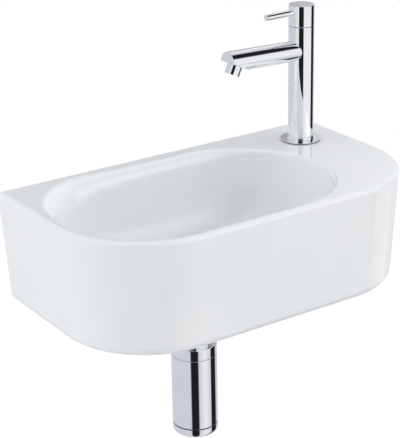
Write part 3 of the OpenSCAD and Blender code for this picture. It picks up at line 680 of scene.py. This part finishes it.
# %% Basin skin
def basin_skin():
    """The closed skin of the basin, before any hole is cut."""
    deselect_all()
    bpy.ops.mesh.primitive_grid_add(x_subdivisions=len(STATIONS), y_subdivisions=len(RINGS) - 1)
    piece = bpy.context.object
    piece.name = "glazed_basin"
    points = [value * MM for ring in RINGS for point in ring + ring[:1] for value in point]
    piece.data.vertices.foreach_set("co", points)
    open_mesh(piece)
    bpy.ops.mesh.remove_doubles(threshold=MERGE_DISTANCE)
    bpy.ops.mesh.fill_holes(sides=0)
    bpy.ops.mesh.normals_make_consistent(inside=False)
    trim((0, 0, 0), (0, 1, 0))
    bpy.ops.object.mode_set(mode="OBJECT")
    return piece


basin = basin_skin()
print("basin skin faces:", len(basin.data.polygons))

# %% Holes of the basin
RECESS_R, DRAIN_R, TAP_HOLE_R, WALL_HOLE_R = 31.8, 22.5, 17.5, 7.0
SEAT_Z = BASIN_FLOOR - 4.5
WALL_HOLE_X = 140.0
cut(basin, cylinder(RECESS_R, SEAT_Z, BASIN_FLOOR + 40, at_drain()))
cut(basin, cylinder(DRAIN_R, BOSS_Z - 5, SEAT_Z + 1, at_drain()))
cut(basin, cylinder(TAP_HOLE_R, RIM_Z - 20, RIM_Z + 5, at_tap()))
for side in (-WALL_HOLE_X, WALL_HOLE_X):
    into_wall = moved(side, 0, 0) @ turned(90, "X")
    cut(basin, cylinder(WALL_HOLE_R, -5, 15, into_wall, sides=64))
print("basin faces:", len(basin.data.polygons))

# %% [markdown]
# The real basin is glazed all over except where it stood in the kiln and where it was ground: the
# back face and the foot. Those faces are found by where they lie.

# %% Finish of the basin
def is_ground(face):
    """True for faces of the flat back and of the foot."""
    on_wall = face.center.y > -0.1 * MM and face.normal.y > 0.9
    on_foot = face.center.z < (FOOT_Z + 0.2) * MM and face.normal.z < -0.9
    return on_wall or on_foot


basin.data.materials.append(glazed_china)
basin.data.materials.append(bare_china)
for face in basin.data.polygons:
    face.material_index = 1 if is_ground(face) else 0
print("ground faces:", sum(face.material_index for face in basin.data.polygons))

# %% Handing a piece over
FINISHES = {
    "chrome": chrome, "brass": brass, "black_rubber": epdm_rubber, "white_plastic": polyacetal,
    "disc_ceramic": lapped_alumina, "steel": stainless, "dark_steel": black_oxide,
}


def install(piece, body, slot_name, *nodes, angle=SHARP):
    """Smooths a finished piece, gives it its material and body, hides the solids it replaces."""
    smooth(piece, angle)
    if slot_name in FINISHES:
        piece.data.materials.clear()
        piece.data.materials.append(FINISHES[slot_name])
    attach(piece, body)
    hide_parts(*nodes)
    print(piece.name, "rides", body, "faces", len(piece.data.polygons))


install(basin, "fixed", "white_ceramic", "basin", angle=30)

# %% [markdown]
# ## The tap's column and flange
# The column is a drawn and bored brass tube. Its bore steps down from the cartridge's thread to
# the waterway. The edges are broken by polishing, so they catch a thin line of light.

# %% Tap column
COLUMN_R = 14.0
THREAD_BORE, CARTRIDGE_BORE, WATERWAY, SHANK_BORE = 11.45, 10.8, 6.0, 10.53
COLUMN_FOOT, COLUMN_TOP = RIM_Z + 1.0, RIM_Z + 129.0
THREAD_END, CARTRIDGE_SEAT, SOCKET_TOP = COLUMN_TOP - 16, RIM_Z + 90, COLUMN_FOOT + 12
SPOUT_Z, SPOUT_RISE, SPIGOT_R = COLUMN_TOP - 27.5, 2.3, 8.0
SPOUT_AXIS = at_tap(SPOUT_Z) @ turned(90 - SPOUT_RISE)

column = lathe("tap_column_tube", [
    (SHANK_BORE, COLUMN_FOOT), (COLUMN_R, COLUMN_FOOT), (COLUMN_R, COLUMN_TOP),
    (THREAD_BORE, COLUMN_TOP), (THREAD_BORE, THREAD_END), (CARTRIDGE_BORE, THREAD_END),
    (CARTRIDGE_BORE, CARTRIDGE_SEAT), (WATERWAY, CARTRIDGE_SEAT), (WATERWAY, SOCKET_TOP),
    (SHANK_BORE, SOCKET_TOP),
])
break_edges(column, 0.25)
settle(column, at_tap())
cut(column, cylinder(SPIGOT_R + FIT, 0, 2 * COLUMN_R, SPOUT_AXIS))
install(column, "fixed", "chrome", "tap_column")

# %% Tap flange
FLANGE_R, COLLAR_R, COLLAR_TOP = 22.5, 14.75, 4.5
AROUND_COLUMN = COLUMN_R + FIT
flange = lathe("tap_base_flange", [
    (AROUND_COLUMN, 0), (FLANGE_R, 0), (FLANGE_R, 0.9), (COLLAR_R, 1.1), (COLLAR_R, COLLAR_TOP),
    (AROUND_COLUMN, COLLAR_TOP),
])
break_edges(flange, 0.3)
settle(flange, at_tap(COLUMN_FOOT))
install(flange, "fixed", "chrome", "tap_flange")

# %% [markdown]
# ## The spout
# A tube is cut off square, then at a slant for the outlet, and coped to the column's round at its
# root. Its edges are broken before the bores are drilled.

# %% Spout
SPOUT_R, SPOUT_BORE, SPOUT_REACH = 11.15, 6.65, 101.7
OUTLET_TILT, OUTLET_BACK, OUTLET_BORE = 25.0, 11.4, 3.4
STEM_R = 6.55
RISE, TILT = math.radians(SPOUT_RISE), math.radians(OUTLET_TILT)
OUTLET_S = SPOUT_REACH * math.cos(RISE) - OUTLET_BACK * math.cos(TILT)
OUTLET_UP = SPOUT_REACH * math.sin(RISE) - OUTLET_BACK * math.sin(TILT)
OUTLET_FACE = at_tap(SPOUT_Z) @ moved(OUTLET_S, 0, OUTLET_UP) @ turned(180 - OUTLET_TILT)


def cut_off(piece, place):
    """Cuts a piece off flat, square to the place's Z axis."""
    open_mesh(piece)
    trim(place.translation, place.col[2][:3])
    bpy.ops.object.mode_set(mode="OBJECT")


spout = lathe("tap_spout_tube", [
    (SPOUT_BORE, OUTLET_S - 2 * SPOUT_R), (SPOUT_BORE, 6), (SPOUT_R, 6), (SPOUT_R, SPOUT_REACH),
], closed=False)
settle(spout, SPOUT_AXIS)
cut_off(spout, OUTLET_FACE)
break_edges(spout, 0.35, clamp=False)
cut(spout, cylinder(AROUND_COLUMN, COLUMN_FOOT, COLUMN_TOP + 60, at_tap()))
cut(spout, settle(lathe("spout_plug", [
    (SPOUT_BORE, 11.4), (SPIGOT_R, 11.4), (SPIGOT_R, 24), (SPOUT_BORE, 24),
]), SPOUT_AXIS), "UNION")
cut(spout, cylinder(OUTLET_BORE, 60, OUTLET_S + 1, SPOUT_AXIS @ moved(-4.2, 0, 0)))
cut(spout, cylinder(STEM_R + FIT, -6, 1, OUTLET_FACE))
install(spout, "fixed", "chrome", "tap_spout")

# %% [markdown]
# ## The aerator
# A chrome shell screws into the outlet face. Inside it sits a white moulded grid that mixes air
# into the water. The grid is a plane with many squares, turned to bars by a Wireframe modifier.

# %% Aerator shell
SHELL_R, SHELL_BORE, SHELL_END = 8.3, 6.9, 10.6
STEM_BORE, STEM_END, SHELL_SEAT = 5.55, -3.6, 0.8
shell = lathe("aerator_ring", [
    (STEM_BORE, STEM_END), (STEM_R, STEM_END), (STEM_R, 0), (SHELL_R, 0), (SHELL_R, SHELL_END),
    (SHELL_BORE, SHELL_END), (SHELL_BORE, SHELL_SEAT), (STEM_BORE, SHELL_SEAT),
])
break_edges(shell, 0.3)
settle(shell, OUTLET_FACE)
install(shell, "fixed", "chrome", "aerator_shell")

# %% Aerator grid
def bar_grid(name, size, squares, bar, place):
    """A square grid of bars."""
    deselect_all()
    bpy.ops.mesh.primitive_grid_add(x_subdivisions=squares, y_subdivisions=squares, size=size * MM)
    piece = bpy.context.object
    piece.name = name
    finish_with(piece, "WIREFRAME", thickness=bar * MM, use_even_offset=False, use_boundary=True)
    return settle(piece, place)


grid = bar_grid("aerator_grid", size=14, squares=10, bar=0.4, place=moved(0, 0, 8.5))
cut(grid, cylinder(6.6, 0, 12), "INTERSECT")
cut(grid, lathe("grid_holder", [
    (5.9, 0.9), (6.84, 0.9), (6.84, 9.1), (6.3, 9.1), (6.3, 2.2), (5.9, 2.2),
]), "UNION")
settle(grid, OUTLET_FACE)
install(grid, "fixed", "white_plastic", "aerator_insert")

# %% [markdown]
# ## The hub and its lever
# The hub is a short solid cap that turns on the spindle. The lever is a thin rod with a shoulder
# that follows the hub's round, screwed into it.

# %% Lever hub
HUB_Z, HUB_TOP = COLUMN_TOP + 0.3, COLUMN_TOP + 23.0
LEVER_Z = COLUMN_TOP + 15.6
LEVER_AXIS = at_tap(LEVER_Z) @ turned(90)
SPLINE_R, SPLINE_TOP = 3.9, LEVER_Z - 4.6
GRUB_AXIS = at_tap((HUB_Z + SPLINE_TOP) / 2) @ turned(-90)
LEVER_R, LEVER_TIP, LEVER_SCREW_R, GRUB_R = 3.4, 49.7, 2.5, 2.0

hub = lathe("lever_hub_cap", [
    (0.5, SPLINE_TOP), (SPLINE_R, SPLINE_TOP), (SPLINE_R, HUB_Z), (COLUMN_R, HUB_Z),
    (COLUMN_R, HUB_TOP), (0.5, HUB_TOP),
], closed=False)
break_edges(hub, 0.55, segments=4)
settle(hub, at_tap())
cut(hub, cylinder(LEVER_SCREW_R + FIT, 8, 20, LEVER_AXIS))
cut(hub, cylinder(GRUB_R + FIT, 0, 2 * COLUMN_R, GRUB_AXIS))
install(hub, "lever", "chrome", "lever_hub")

# %% Lever rod
lever = lathe("lever_pin", [
    (0.3, 12), (LEVER_R, 12), (LEVER_R, LEVER_TIP), (0.3, LEVER_TIP),
], closed=False)
break_edges(lever, 0.5, segments=4)
settle(lever, LEVER_AXIS)
cut(lever, cylinder(AROUND_COLUMN, LEVER_Z - 12, LEVER_Z + 12, at_tap()))
cut(lever, cylinder(LEVER_SCREW_R, 8.2, 24, LEVER_AXIS), "UNION")
install(lever, "lever", "chrome", "lever_rod")

# %% [markdown]
# ## The bottle trap
# The trap is three turned pieces of one diameter: a union nut at the top, the bottle with its
# outlet, and a cup that unscrews. Dark seams between them show the joints.

# %% Trap union nut
TRAP_R = 24.4
WASTE_THREAD_R = 20.95
WASTE_THREAD_BORE = WASTE_THREAD_R + FIT
UNION_Z = RIM_Z - 170.0
UNION_LOW = UNION_Z - 12.0
UNION_FLOOR, UNION_HOLE = UNION_LOW + 2.6, 17.9
union_nut = lathe("trap_top_nut", [
    (WASTE_THREAD_BORE, UNION_Z), (TRAP_R, UNION_Z), (TRAP_R, UNION_LOW), (UNION_HOLE, UNION_LOW),
    (UNION_HOLE, UNION_FLOOR), (WASTE_THREAD_BORE, UNION_FLOOR),
])
break_edges(union_nut, 0.35)
settle(union_nut, at_drain())
install(union_nut, "fixed", "chrome", "trap_union_nut")

# %% Trap bottle
BODY_TOP = UNION_LOW - 0.3
BODY_LOW = BODY_TOP - 80.2
BODY_CEILING = BODY_TOP - 3
BODY_BORE, NECK_R, NECK_LIP_R, TUBE_HOLE, TUBE_SEAT_R = 22.6, 17.6, 20.7, 15.05, 16.55
OUTLET_TURN, OUTLET_DROP = 56, 23.0
OUTLET_AXIS = at_drain(BODY_TOP - OUTLET_DROP) @ turned(OUTLET_TURN, "Z") @ turned(90)
bottle = lathe("trap_bottle", [
    (TUBE_HOLE, BODY_CEILING), (TUBE_HOLE, BODY_TOP + 4.2), (TUBE_SEAT_R, BODY_TOP + 4.2),
    (TUBE_SEAT_R, BODY_TOP + 5.2), (NECK_LIP_R, BODY_TOP + 5.2), (NECK_LIP_R, BODY_TOP + 3.2),
    (NECK_R, BODY_TOP + 3.2), (NECK_R, BODY_TOP), (TRAP_R, BODY_TOP), (TRAP_R, BODY_LOW),
    (BODY_BORE, BODY_LOW), (BODY_BORE, BODY_CEILING),
])
break_edges(bottle, 0.3)
settle(bottle, at_drain())
cut(bottle, cylinder(17.5, 18.4, 50, OUTLET_AXIS), "UNION")
cut(bottle, cylinder(BODY_BORE, BODY_LOW - 1, BODY_CEILING, at_drain(), sides=ROUND_STEPS))
cut(bottle, cylinder(14.0, 0, 50, OUTLET_AXIS))
cut(bottle, cylinder(16.1, 25, 51, OUTLET_AXIS))
install(bottle, "trap", "chrome", "trap_body")

# %% Trap outlet nut
NUT_START, NUT_END, NUT_R, NUT_THREAD_BORE, NUT_HOLE = 39.5, 55.5, 21.1, 17.55, 16.4
outlet_nut = lathe("trap_pipe_nut", [
    (NUT_THREAD_BORE, NUT_START), (NUT_R, NUT_START), (NUT_R, NUT_END), (NUT_HOLE, NUT_END),
    (NUT_HOLE, NUT_END - 2.5), (NUT_THREAD_BORE, NUT_END - 2.5),
])
break_edges(outlet_nut, 0.6)
settle(outlet_nut, OUTLET_AXIS)
install(outlet_nut, "trap", "chrome", "trap_outlet_nut")

# %% [markdown]
# The cup has a rounded lower edge, and a thread with a 2.5 mm pitch that shows when it is
# unscrewed for cleaning.

# %% Trap cup
CUP_TOP = BODY_LOW - 1.2
CUP_LOW = CUP_TOP - 10.3
CUP_R = 5.0
THREAD_TOP = BODY_LOW + 5.0
CUP_BORE, ROOT_R, CREST_R, PITCH = 20.5, 21.3, 22.25, 2.5
crests = [
    (radius, CUP_TOP + rise + PITCH * k)
    for k in range(2)
    for radius, rise in ((ROOT_R, 0.7), (CREST_R, 1.5), (CREST_R, 1.9), (ROOT_R, 2.7))
]
outer = [(0.5, CUP_LOW), *arc(TRAP_R - CUP_R, CUP_LOW + CUP_R, CUP_R, -90, 0, 12)]
inner = [
    (ROOT_R, THREAD_TOP), (CUP_BORE, THREAD_TOP), (CUP_BORE, CUP_LOW + 3.5), (17.5, CUP_LOW + 2),
    (0.5, CUP_LOW + 2),
]
cup = lathe(
    "trap_cleaning_cup", [*outer, (TRAP_R, CUP_TOP), (ROOT_R, CUP_TOP), *crests, *inner],
    closed=False,
)
break_edges(cup, 0.15, segments=2, angle=50)
settle(cup, at_drain())
install(cup, "cup", "chrome", "trap_cup")

# %% [markdown]
# ## The waste under the bowl
# The waste is a threaded tail with a polished flange in the bowl. A thread is one wave of its
# profile, wound up by a Screw modifier, and cut off flat at both ends. The wave starts as a plane
# merged to one point, which is then extruded.

# %% Threads
def threaded_rod(name, major, minor, pitch, low, high, place, steps=72):
    """A solid rod with a screw thread from low to high."""
    deselect_all()
    bpy.ops.mesh.primitive_plane_add(size=MM)
    piece = bpy.context.object
    piece.name = name
    open_mesh(piece)
    bpy.ops.mesh.merge(type="CENTER")
    wave = [(minor, 0.0), (major, 0.38), (major, 0.5), (minor, 0.88), (minor, 1.0)]
    points = [Vector((radius, 0, low - pitch + up * pitch)) * MM for radius, up in wave]
    bpy.ops.transform.translate(value=points[0])
    for start, end in zip(points, points[1:]):
        bpy.ops.mesh.extrude_region_move(TRANSFORM_OT_translate={"value": end - start})
    bpy.ops.object.mode_set(mode="OBJECT")
    finish_with(
        piece, "SCREW", axis="Z", angle=math.tau, screw_offset=pitch * MM,
        iterations=math.ceil((high - low) / pitch) + 2,
        steps=steps, render_steps=steps, use_merge_vertices=False,
    )
    open_mesh(piece)
    bpy.ops.mesh.remove_doubles(threshold=MERGE_DISTANCE)
    for level, up in ((low, -1), (high, 1)):
        trim((0, 0, level * MM), (0, 0, up))
    bpy.ops.mesh.select_all(action="SELECT")
    bpy.ops.mesh.normals_make_consistent(inside=False)
    bpy.ops.object.mode_set(mode="OBJECT")
    return settle(piece, place)


# %% Waste body
WASTE_END = RIM_Z - 175.0
WASTE_RIM_R, WASTE_RIM_LOW, WASTE_RIM_FLOOR = 31.5, BASIN_FLOOR - 2.5, BASIN_FLOOR - 0.4
waste = threaded_rod(
    "waste_tail", major=WASTE_THREAD_R, minor=19.6, pitch=2.309, low=WASTE_END,
    high=BASIN_FLOOR - 2.0, place=at_drain(),
)
rim_of_waste = lathe("waste_rim", [
    (0.5, WASTE_RIM_LOW), (WASTE_RIM_R, WASTE_RIM_LOW),
    *arc(WASTE_RIM_R - 1.5, BASIN_FLOOR - 1.5, 1.5, 0, 90, 6),
    (24, BASIN_FLOOR - 0.15), (20.5, WASTE_RIM_FLOOR), (0.5, WASTE_RIM_FLOOR),
], closed=False)
cut(waste, settle(rim_of_waste, at_drain()), "UNION")
cut(waste, cylinder(17.5, WASTE_END - 1, BASIN_FLOOR, at_drain()))
cut(waste, cylinder(19.5, BASIN_FLOOR - 2.6, BASIN_FLOOR + 1, at_drain()))
install(waste, "fixed", "chrome", "waste_body")

# %% [markdown]
# Hexagon nuts are turned first, then milled: their corners are cut off by the lathe's chamfer. So
# a six-sided cylinder is intersected with a turned blank that has chamfered ends.

# %% Nuts
def hexagon_nut(name, across, height, bore, place):
    """A hexagon nut with chamfered corners and a bore."""
    corner = across / 2 / math.cos(math.radians(30))
    nut = cylinder(corner, 0, height, sides=6)
    nut.name = name
    low_r, step = across / 2 + 0.3, (corner - across / 2) * 0.6
    blank = lathe("nut_blank", [
        (0.5, 0), (low_r, 0), (corner + 0.5, step), (corner + 0.5, height - step), (low_r, height),
        (0.5, height),
    ], closed=False)
    cut(nut, blank, "INTERSECT")
    cut(nut, cylinder(bore, -1, height + 1))
    break_edges(nut, 0.25, segments=2)
    return settle(nut, place)


waste_nut = hexagon_nut(
    "waste_lock_nut", NUT_ACROSS, height=9.0, bore=WASTE_THREAD_BORE, place=at_drain(BOSS_Z - 14.5)
)
install(waste_nut, "fixed", "brass", "waste_nut")
shank_nut = hexagon_nut(
    "tap_back_nut", across=30.0, height=10.0, bore=SHANK_BORE, place=at_tap(CEILING - 14.5)
)
install(shank_nut, "fixed", "brass", "shank_nut")

# %% Tap shank
SHANK_LOW = RIM_Z - 62.0
NECK_LOW, NECK_TOP, NECK_DEPTH_R = SHANK_LOW + 30, CEILING - 15, 9.7
shank = threaded_rod(
    "tap_tail", major=10.475, minor=9.4, pitch=1.814, low=SHANK_LOW, high=SOCKET_TOP,
    place=at_tap(), steps=64,
)
cut(shank, settle(lathe("relief_tool", [
    (NECK_DEPTH_R, NECK_LOW), (12, NECK_LOW), (12, NECK_TOP), (NECK_DEPTH_R, NECK_TOP),
]), at_tap()))
cut(shank, cylinder(WATERWAY, SHANK_LOW - 1, SOCKET_TOP + 2, at_tap(), sides=64))
install(shank, "fixed", "brass", "tap_shank")

# %% [markdown]
# ## Finishes for the other solids
# Seals, washers, the cartridge and the strainer keep the shapes of the construction model, which
# are right, and only get their real materials.

# %% Finish the remaining solids
kept = 0
for part in frame["record"]["subparts"]:
    solid = frame["nodes"][part["node"]]
    if not solid.hide_render:
        solid.data.materials.clear()
        solid.data.materials.append(FINISHES[part["material_slot"]])
        kept += 1
print("solids kept:", kept)

# %% [markdown]
# ## Floor, light and surroundings
# Chrome and glaze show what stands round them. A photographer's white tent with two dark openings,
# one left of the camera and one to the right, gives chrome its crisp dark bands. The world gives
# the polished pieces that tent, the camera a plain white background, and matt surfaces plain soft
# light. The floor glows only where it is looked at, so it adds no light and keeps the shadow.

# %% Floor
FLOOR_SIZE, FLOOR_Y, FLOOR_Z = 5000.0, -800.0, -785.0
FLOOR_GLOW = 0.3


def ray_kinds(tree):
    """Two values that are 1 for camera rays, and 1 for glossy or transmission rays."""
    rays = add_node(tree, "LightPath").outputs
    polished = maths(tree, "MAXIMUM", rays["Is Glossy Ray"], rays["Is Transmission Ray"])
    return rays["Is Camera Ray"], polished


deselect_all()
bpy.ops.mesh.primitive_plane_add(size=FLOOR_SIZE * MM, location=(0, FLOOR_Y * MM, FLOOR_Z * MM))
floor = bpy.context.object
floor.name = "studio_floor"
floor.visible_glossy = False
pale_floor, tree, shader = new_material(
    "pale_floor_paint", Roughness=0.9, Emission_Color=(1, 1, 1, 1)
)
tint(tree, shader, noise(tree, 60), "#e4e4e4", "#e8e8e8")
glow = maths(tree, "MULTIPLY", maths(tree, "MAXIMUM", *ray_kinds(tree)), FLOOR_GLOW)
tree.links.new(glow, shader.inputs["Emission Strength"])
floor.data.materials.append(pale_floor)
print("floor at", round(floor.location.z, 3), "m")

# %% [markdown]
# The tent is three rings, one low down, one at eye level and one high up. Each is a colour ramp
# over the compass, where 0 degrees is the front and 90 the right, and four tones make them all.
# Matt surfaces get an even light and three soft lights instead: one at the right front, one at
# the left, and a weak one at the right back.

# %% Surroundings
world = bpy.data.worlds.new("white_tent")
bpy.context.scene.world = world
world.use_nodes = True
tree = world.node_tree
tree.nodes.clear()
# Four tones make the tent, as 8-bit greys: its walls, its bright front, its openings and its seam
WALL_TONE, FRONT_TONE, OPENING_TONE, SEAM_TONE = 210, 240, 30, 110
SOFT_EDGE = 5


def grey(level):
    """Linear grey from an 8-bit level, slightly blue in its middle tones."""
    cool = 60 * (level / 255) ** 2 * (1 - level / 255)
    return colour("#" + "".join(f"{round(v):02x}" for v in (level - cool / 3, level, level + cool)))


direction = add_node(tree, "TexCoord").outputs["Generated"]
axes = add_node(tree, "SeparateXYZ", links={"Vector": direction}).outputs
around = add_node(
    tree, "MapRange",
    values={"From Min": -math.pi, "From Max": math.pi, "To Min": 0.0, "To Max": 1.0},
    links={"Value": maths(tree, "ARCTAN2", axes["X"], maths(tree, "MULTIPLY", axes["Y"], -1.0))},
).outputs["Result"]


def compass_ramp(levels):
    """A colour ramp round the compass, with one stop for each (degrees, level)."""
    ramp = add_node(tree, "ValToRGB", links={"Fac": around})
    stops = ramp.color_ramp.elements
    stops[0].position, stops[0].color = 0.0, grey(levels[0][1])
    stops[1].position, stops[1].color = 1.0, grey(levels[-1][1])
    for degrees, level in levels[1:-1]:
        stops.new((degrees + 180) / 360).color = grey(level)
    return ramp.outputs["Color"]


def tent_ring(beside, left, right, seam=None):
    """The tones round the tent at one height. Beside is the tone next to the openings."""
    stops = [
        (-180, WALL_TONE), (left[0] - 8 * SOFT_EDGE, WALL_TONE), (left[0] - SOFT_EDGE, beside),
        (left[0], OPENING_TONE), (left[1], OPENING_TONE), (left[1] + SOFT_EDGE, beside),
        ((left[1] + right[0]) / 2, FRONT_TONE), (right[0] - SOFT_EDGE, beside),
        (right[0], OPENING_TONE), (right[1], OPENING_TONE), (right[1] + 2 * SOFT_EDGE, WALL_TONE),
    ]
    if seam:
        stops += [
            (seam[0] - 2 * SOFT_EDGE, FRONT_TONE), (seam[0], SEAM_TONE), (seam[1], SEAM_TONE),
            (seam[1] + SOFT_EDGE, WALL_TONE),
        ]
    return compass_ramp([*stops, (180, WALL_TONE)])


# The edges of each opening and of the seam, in compass degrees
ring_low = tent_ring(WALL_TONE, left=(-49, -15), right=(59, 91))
ring_middle = tent_ring(FRONT_TONE, left=(-59, -21), right=(60, 91), seam=(147, 153))
ring_high = tent_ring(FRONT_TONE, left=(-59, -24), right=(40, 84), seam=(146, 154))
print("nodes for the tent's rings:", len(tree.nodes))

# %% Light from the world
# Elevations in degrees between which one ring goes over into the next
LOW_TO_MIDDLE, MIDDLE_TO_HIGH = (-26, -20), (20, 32)
# Light on matt surfaces, in plain whites: an even level all round, and soft lights, each with its
# compass turn, its height and its reach in degrees, and its level in the middle
EVEN_LIGHT = 0.6
SOFT_LIGHTS = [(60, 25, 60, 1.15), (-110, 15, 55, 1.1), (125, 10, 45, 0.5)]
WHITE = (1, 1, 1, 1)
elevation = maths(tree, "DIVIDE", maths(tree, "ARCSINE", axes["Z"]), math.pi / 2)


def blend_by_height(start, end, below, above):
    """Goes from one ring to the next between two elevations in degrees."""
    step = add_node(
        tree, "MapRange", {"interpolation_type": "SMOOTHSTEP"},
        {"From Min": start / 90, "From Max": end / 90}, {"Value": elevation},
    )
    # Inputs 6 and 7 of a Mix node are its two colours, and output 2 is their mix
    mix = add_node(
        tree, "Mix", {"data_type": "RGBA"},
        links={0: step.outputs["Result"], 6: below, 7: above},
    )
    return mix.outputs[2]


def soft_light(turn, height, reach, level):
    """A glow round one direction, which fades away at its reach."""
    nearness = add_node(
        tree, "VectorMath", {"operation": "DOT_PRODUCT"}, {1: towards(turn, height)},
        {0: direction},
    )
    glow = add_node(
        tree, "MapRange", {"interpolation_type": "SMOOTHSTEP"},
        {"From Min": math.cos(math.radians(reach)), "From Max": 1.0, "To Max": level},
        {"Value": nearness.outputs["Value"]},
    )
    return glow.outputs["Result"]


def choose(where, first, second):
    """The second background where the value is 1, and the first elsewhere."""
    return add_node(tree, "MixShader", links={0: where, 1: first, 2: second}).outputs[0]


mirrored = blend_by_height(*LOW_TO_MIDDLE, ring_low, ring_middle)
mirrored = blend_by_height(*MIDDLE_TO_HIGH, mirrored, ring_high)
matt_light = EVEN_LIGHT
for soft in SOFT_LIGHTS:
    matt_light = maths(tree, "ADD", matt_light, soft_light(*soft))
camera_rays, polished_rays = ray_kinds(tree)
plain = add_node(
    tree, "Background", values={"Color": WHITE}, links={"Strength": matt_light}
)
tent = add_node(tree, "Background", links={"Color": mirrored})
white = add_node(tree, "Background", values={"Color": WHITE})
matt_or_polished = choose(polished_rays, plain.outputs[0], tent.outputs[0])
seen = choose(camera_rays, matt_or_polished, white.outputs[0])
add_node(tree, "OutputWorld", links={"Surface": seen})
print("world nodes:", len(tree.nodes))

# %% [markdown]
# Dark openings suit chrome, but they would leave grey smears on the white glaze. So two pale cards
# stand before them, and a third stands over the bowl. These cards are lamps that are linked to the
# basin alone, and they only show in its gloss.

# %% Lamps for the glaze
def glaze_lamp(name, seen_from, turn, height, distance, degrees, level):
    """A rectangle of a given brightness that only the basin's glaze mirrors."""
    deselect_all()
    aim, distance = towards(turn, height), distance * MM
    bpy.ops.object.light_add(type="AREA", location=Vector(seen_from) * MM + aim * distance)
    lamp = bpy.context.object
    lamp.name = name
    lamp.rotation_euler = (-aim).to_track_quat("-Z", "Y").to_euler()
    lamp.data.shape = "RECTANGLE"
    wide, tall = (2 * distance * math.tan(math.radians(a / 2)) for a in degrees)
    lamp.data.size, lamp.data.size_y = wide, tall
    lamp.data.energy = level * math.pi * wide * tall
    lamp.visible_diffuse = False
    receivers = bpy.data.collections.new(name + "_receivers")
    receivers.objects.link(basin)
    lamp.light_linking.receiver_collection = receivers
    print(name, "energy", round(lamp.data.energy, 2), "W")


SIDE_CARD = {"height": -28, "distance": 1100, "degrees": (34, 24)}
glaze_lamp("left_card", seen_from=(-150, -170, 0), turn=-32, level=0.76, **SIDE_CARD)
glaze_lamp("right_card", seen_from=(180, -150, 0), turn=76, level=0.7, **SIDE_CARD)
glaze_lamp(
    "bowl_card", seen_from=(-60, -150, 40), turn=46, height=34, distance=1200, degrees=(50, 46),
    level=0.85,
)
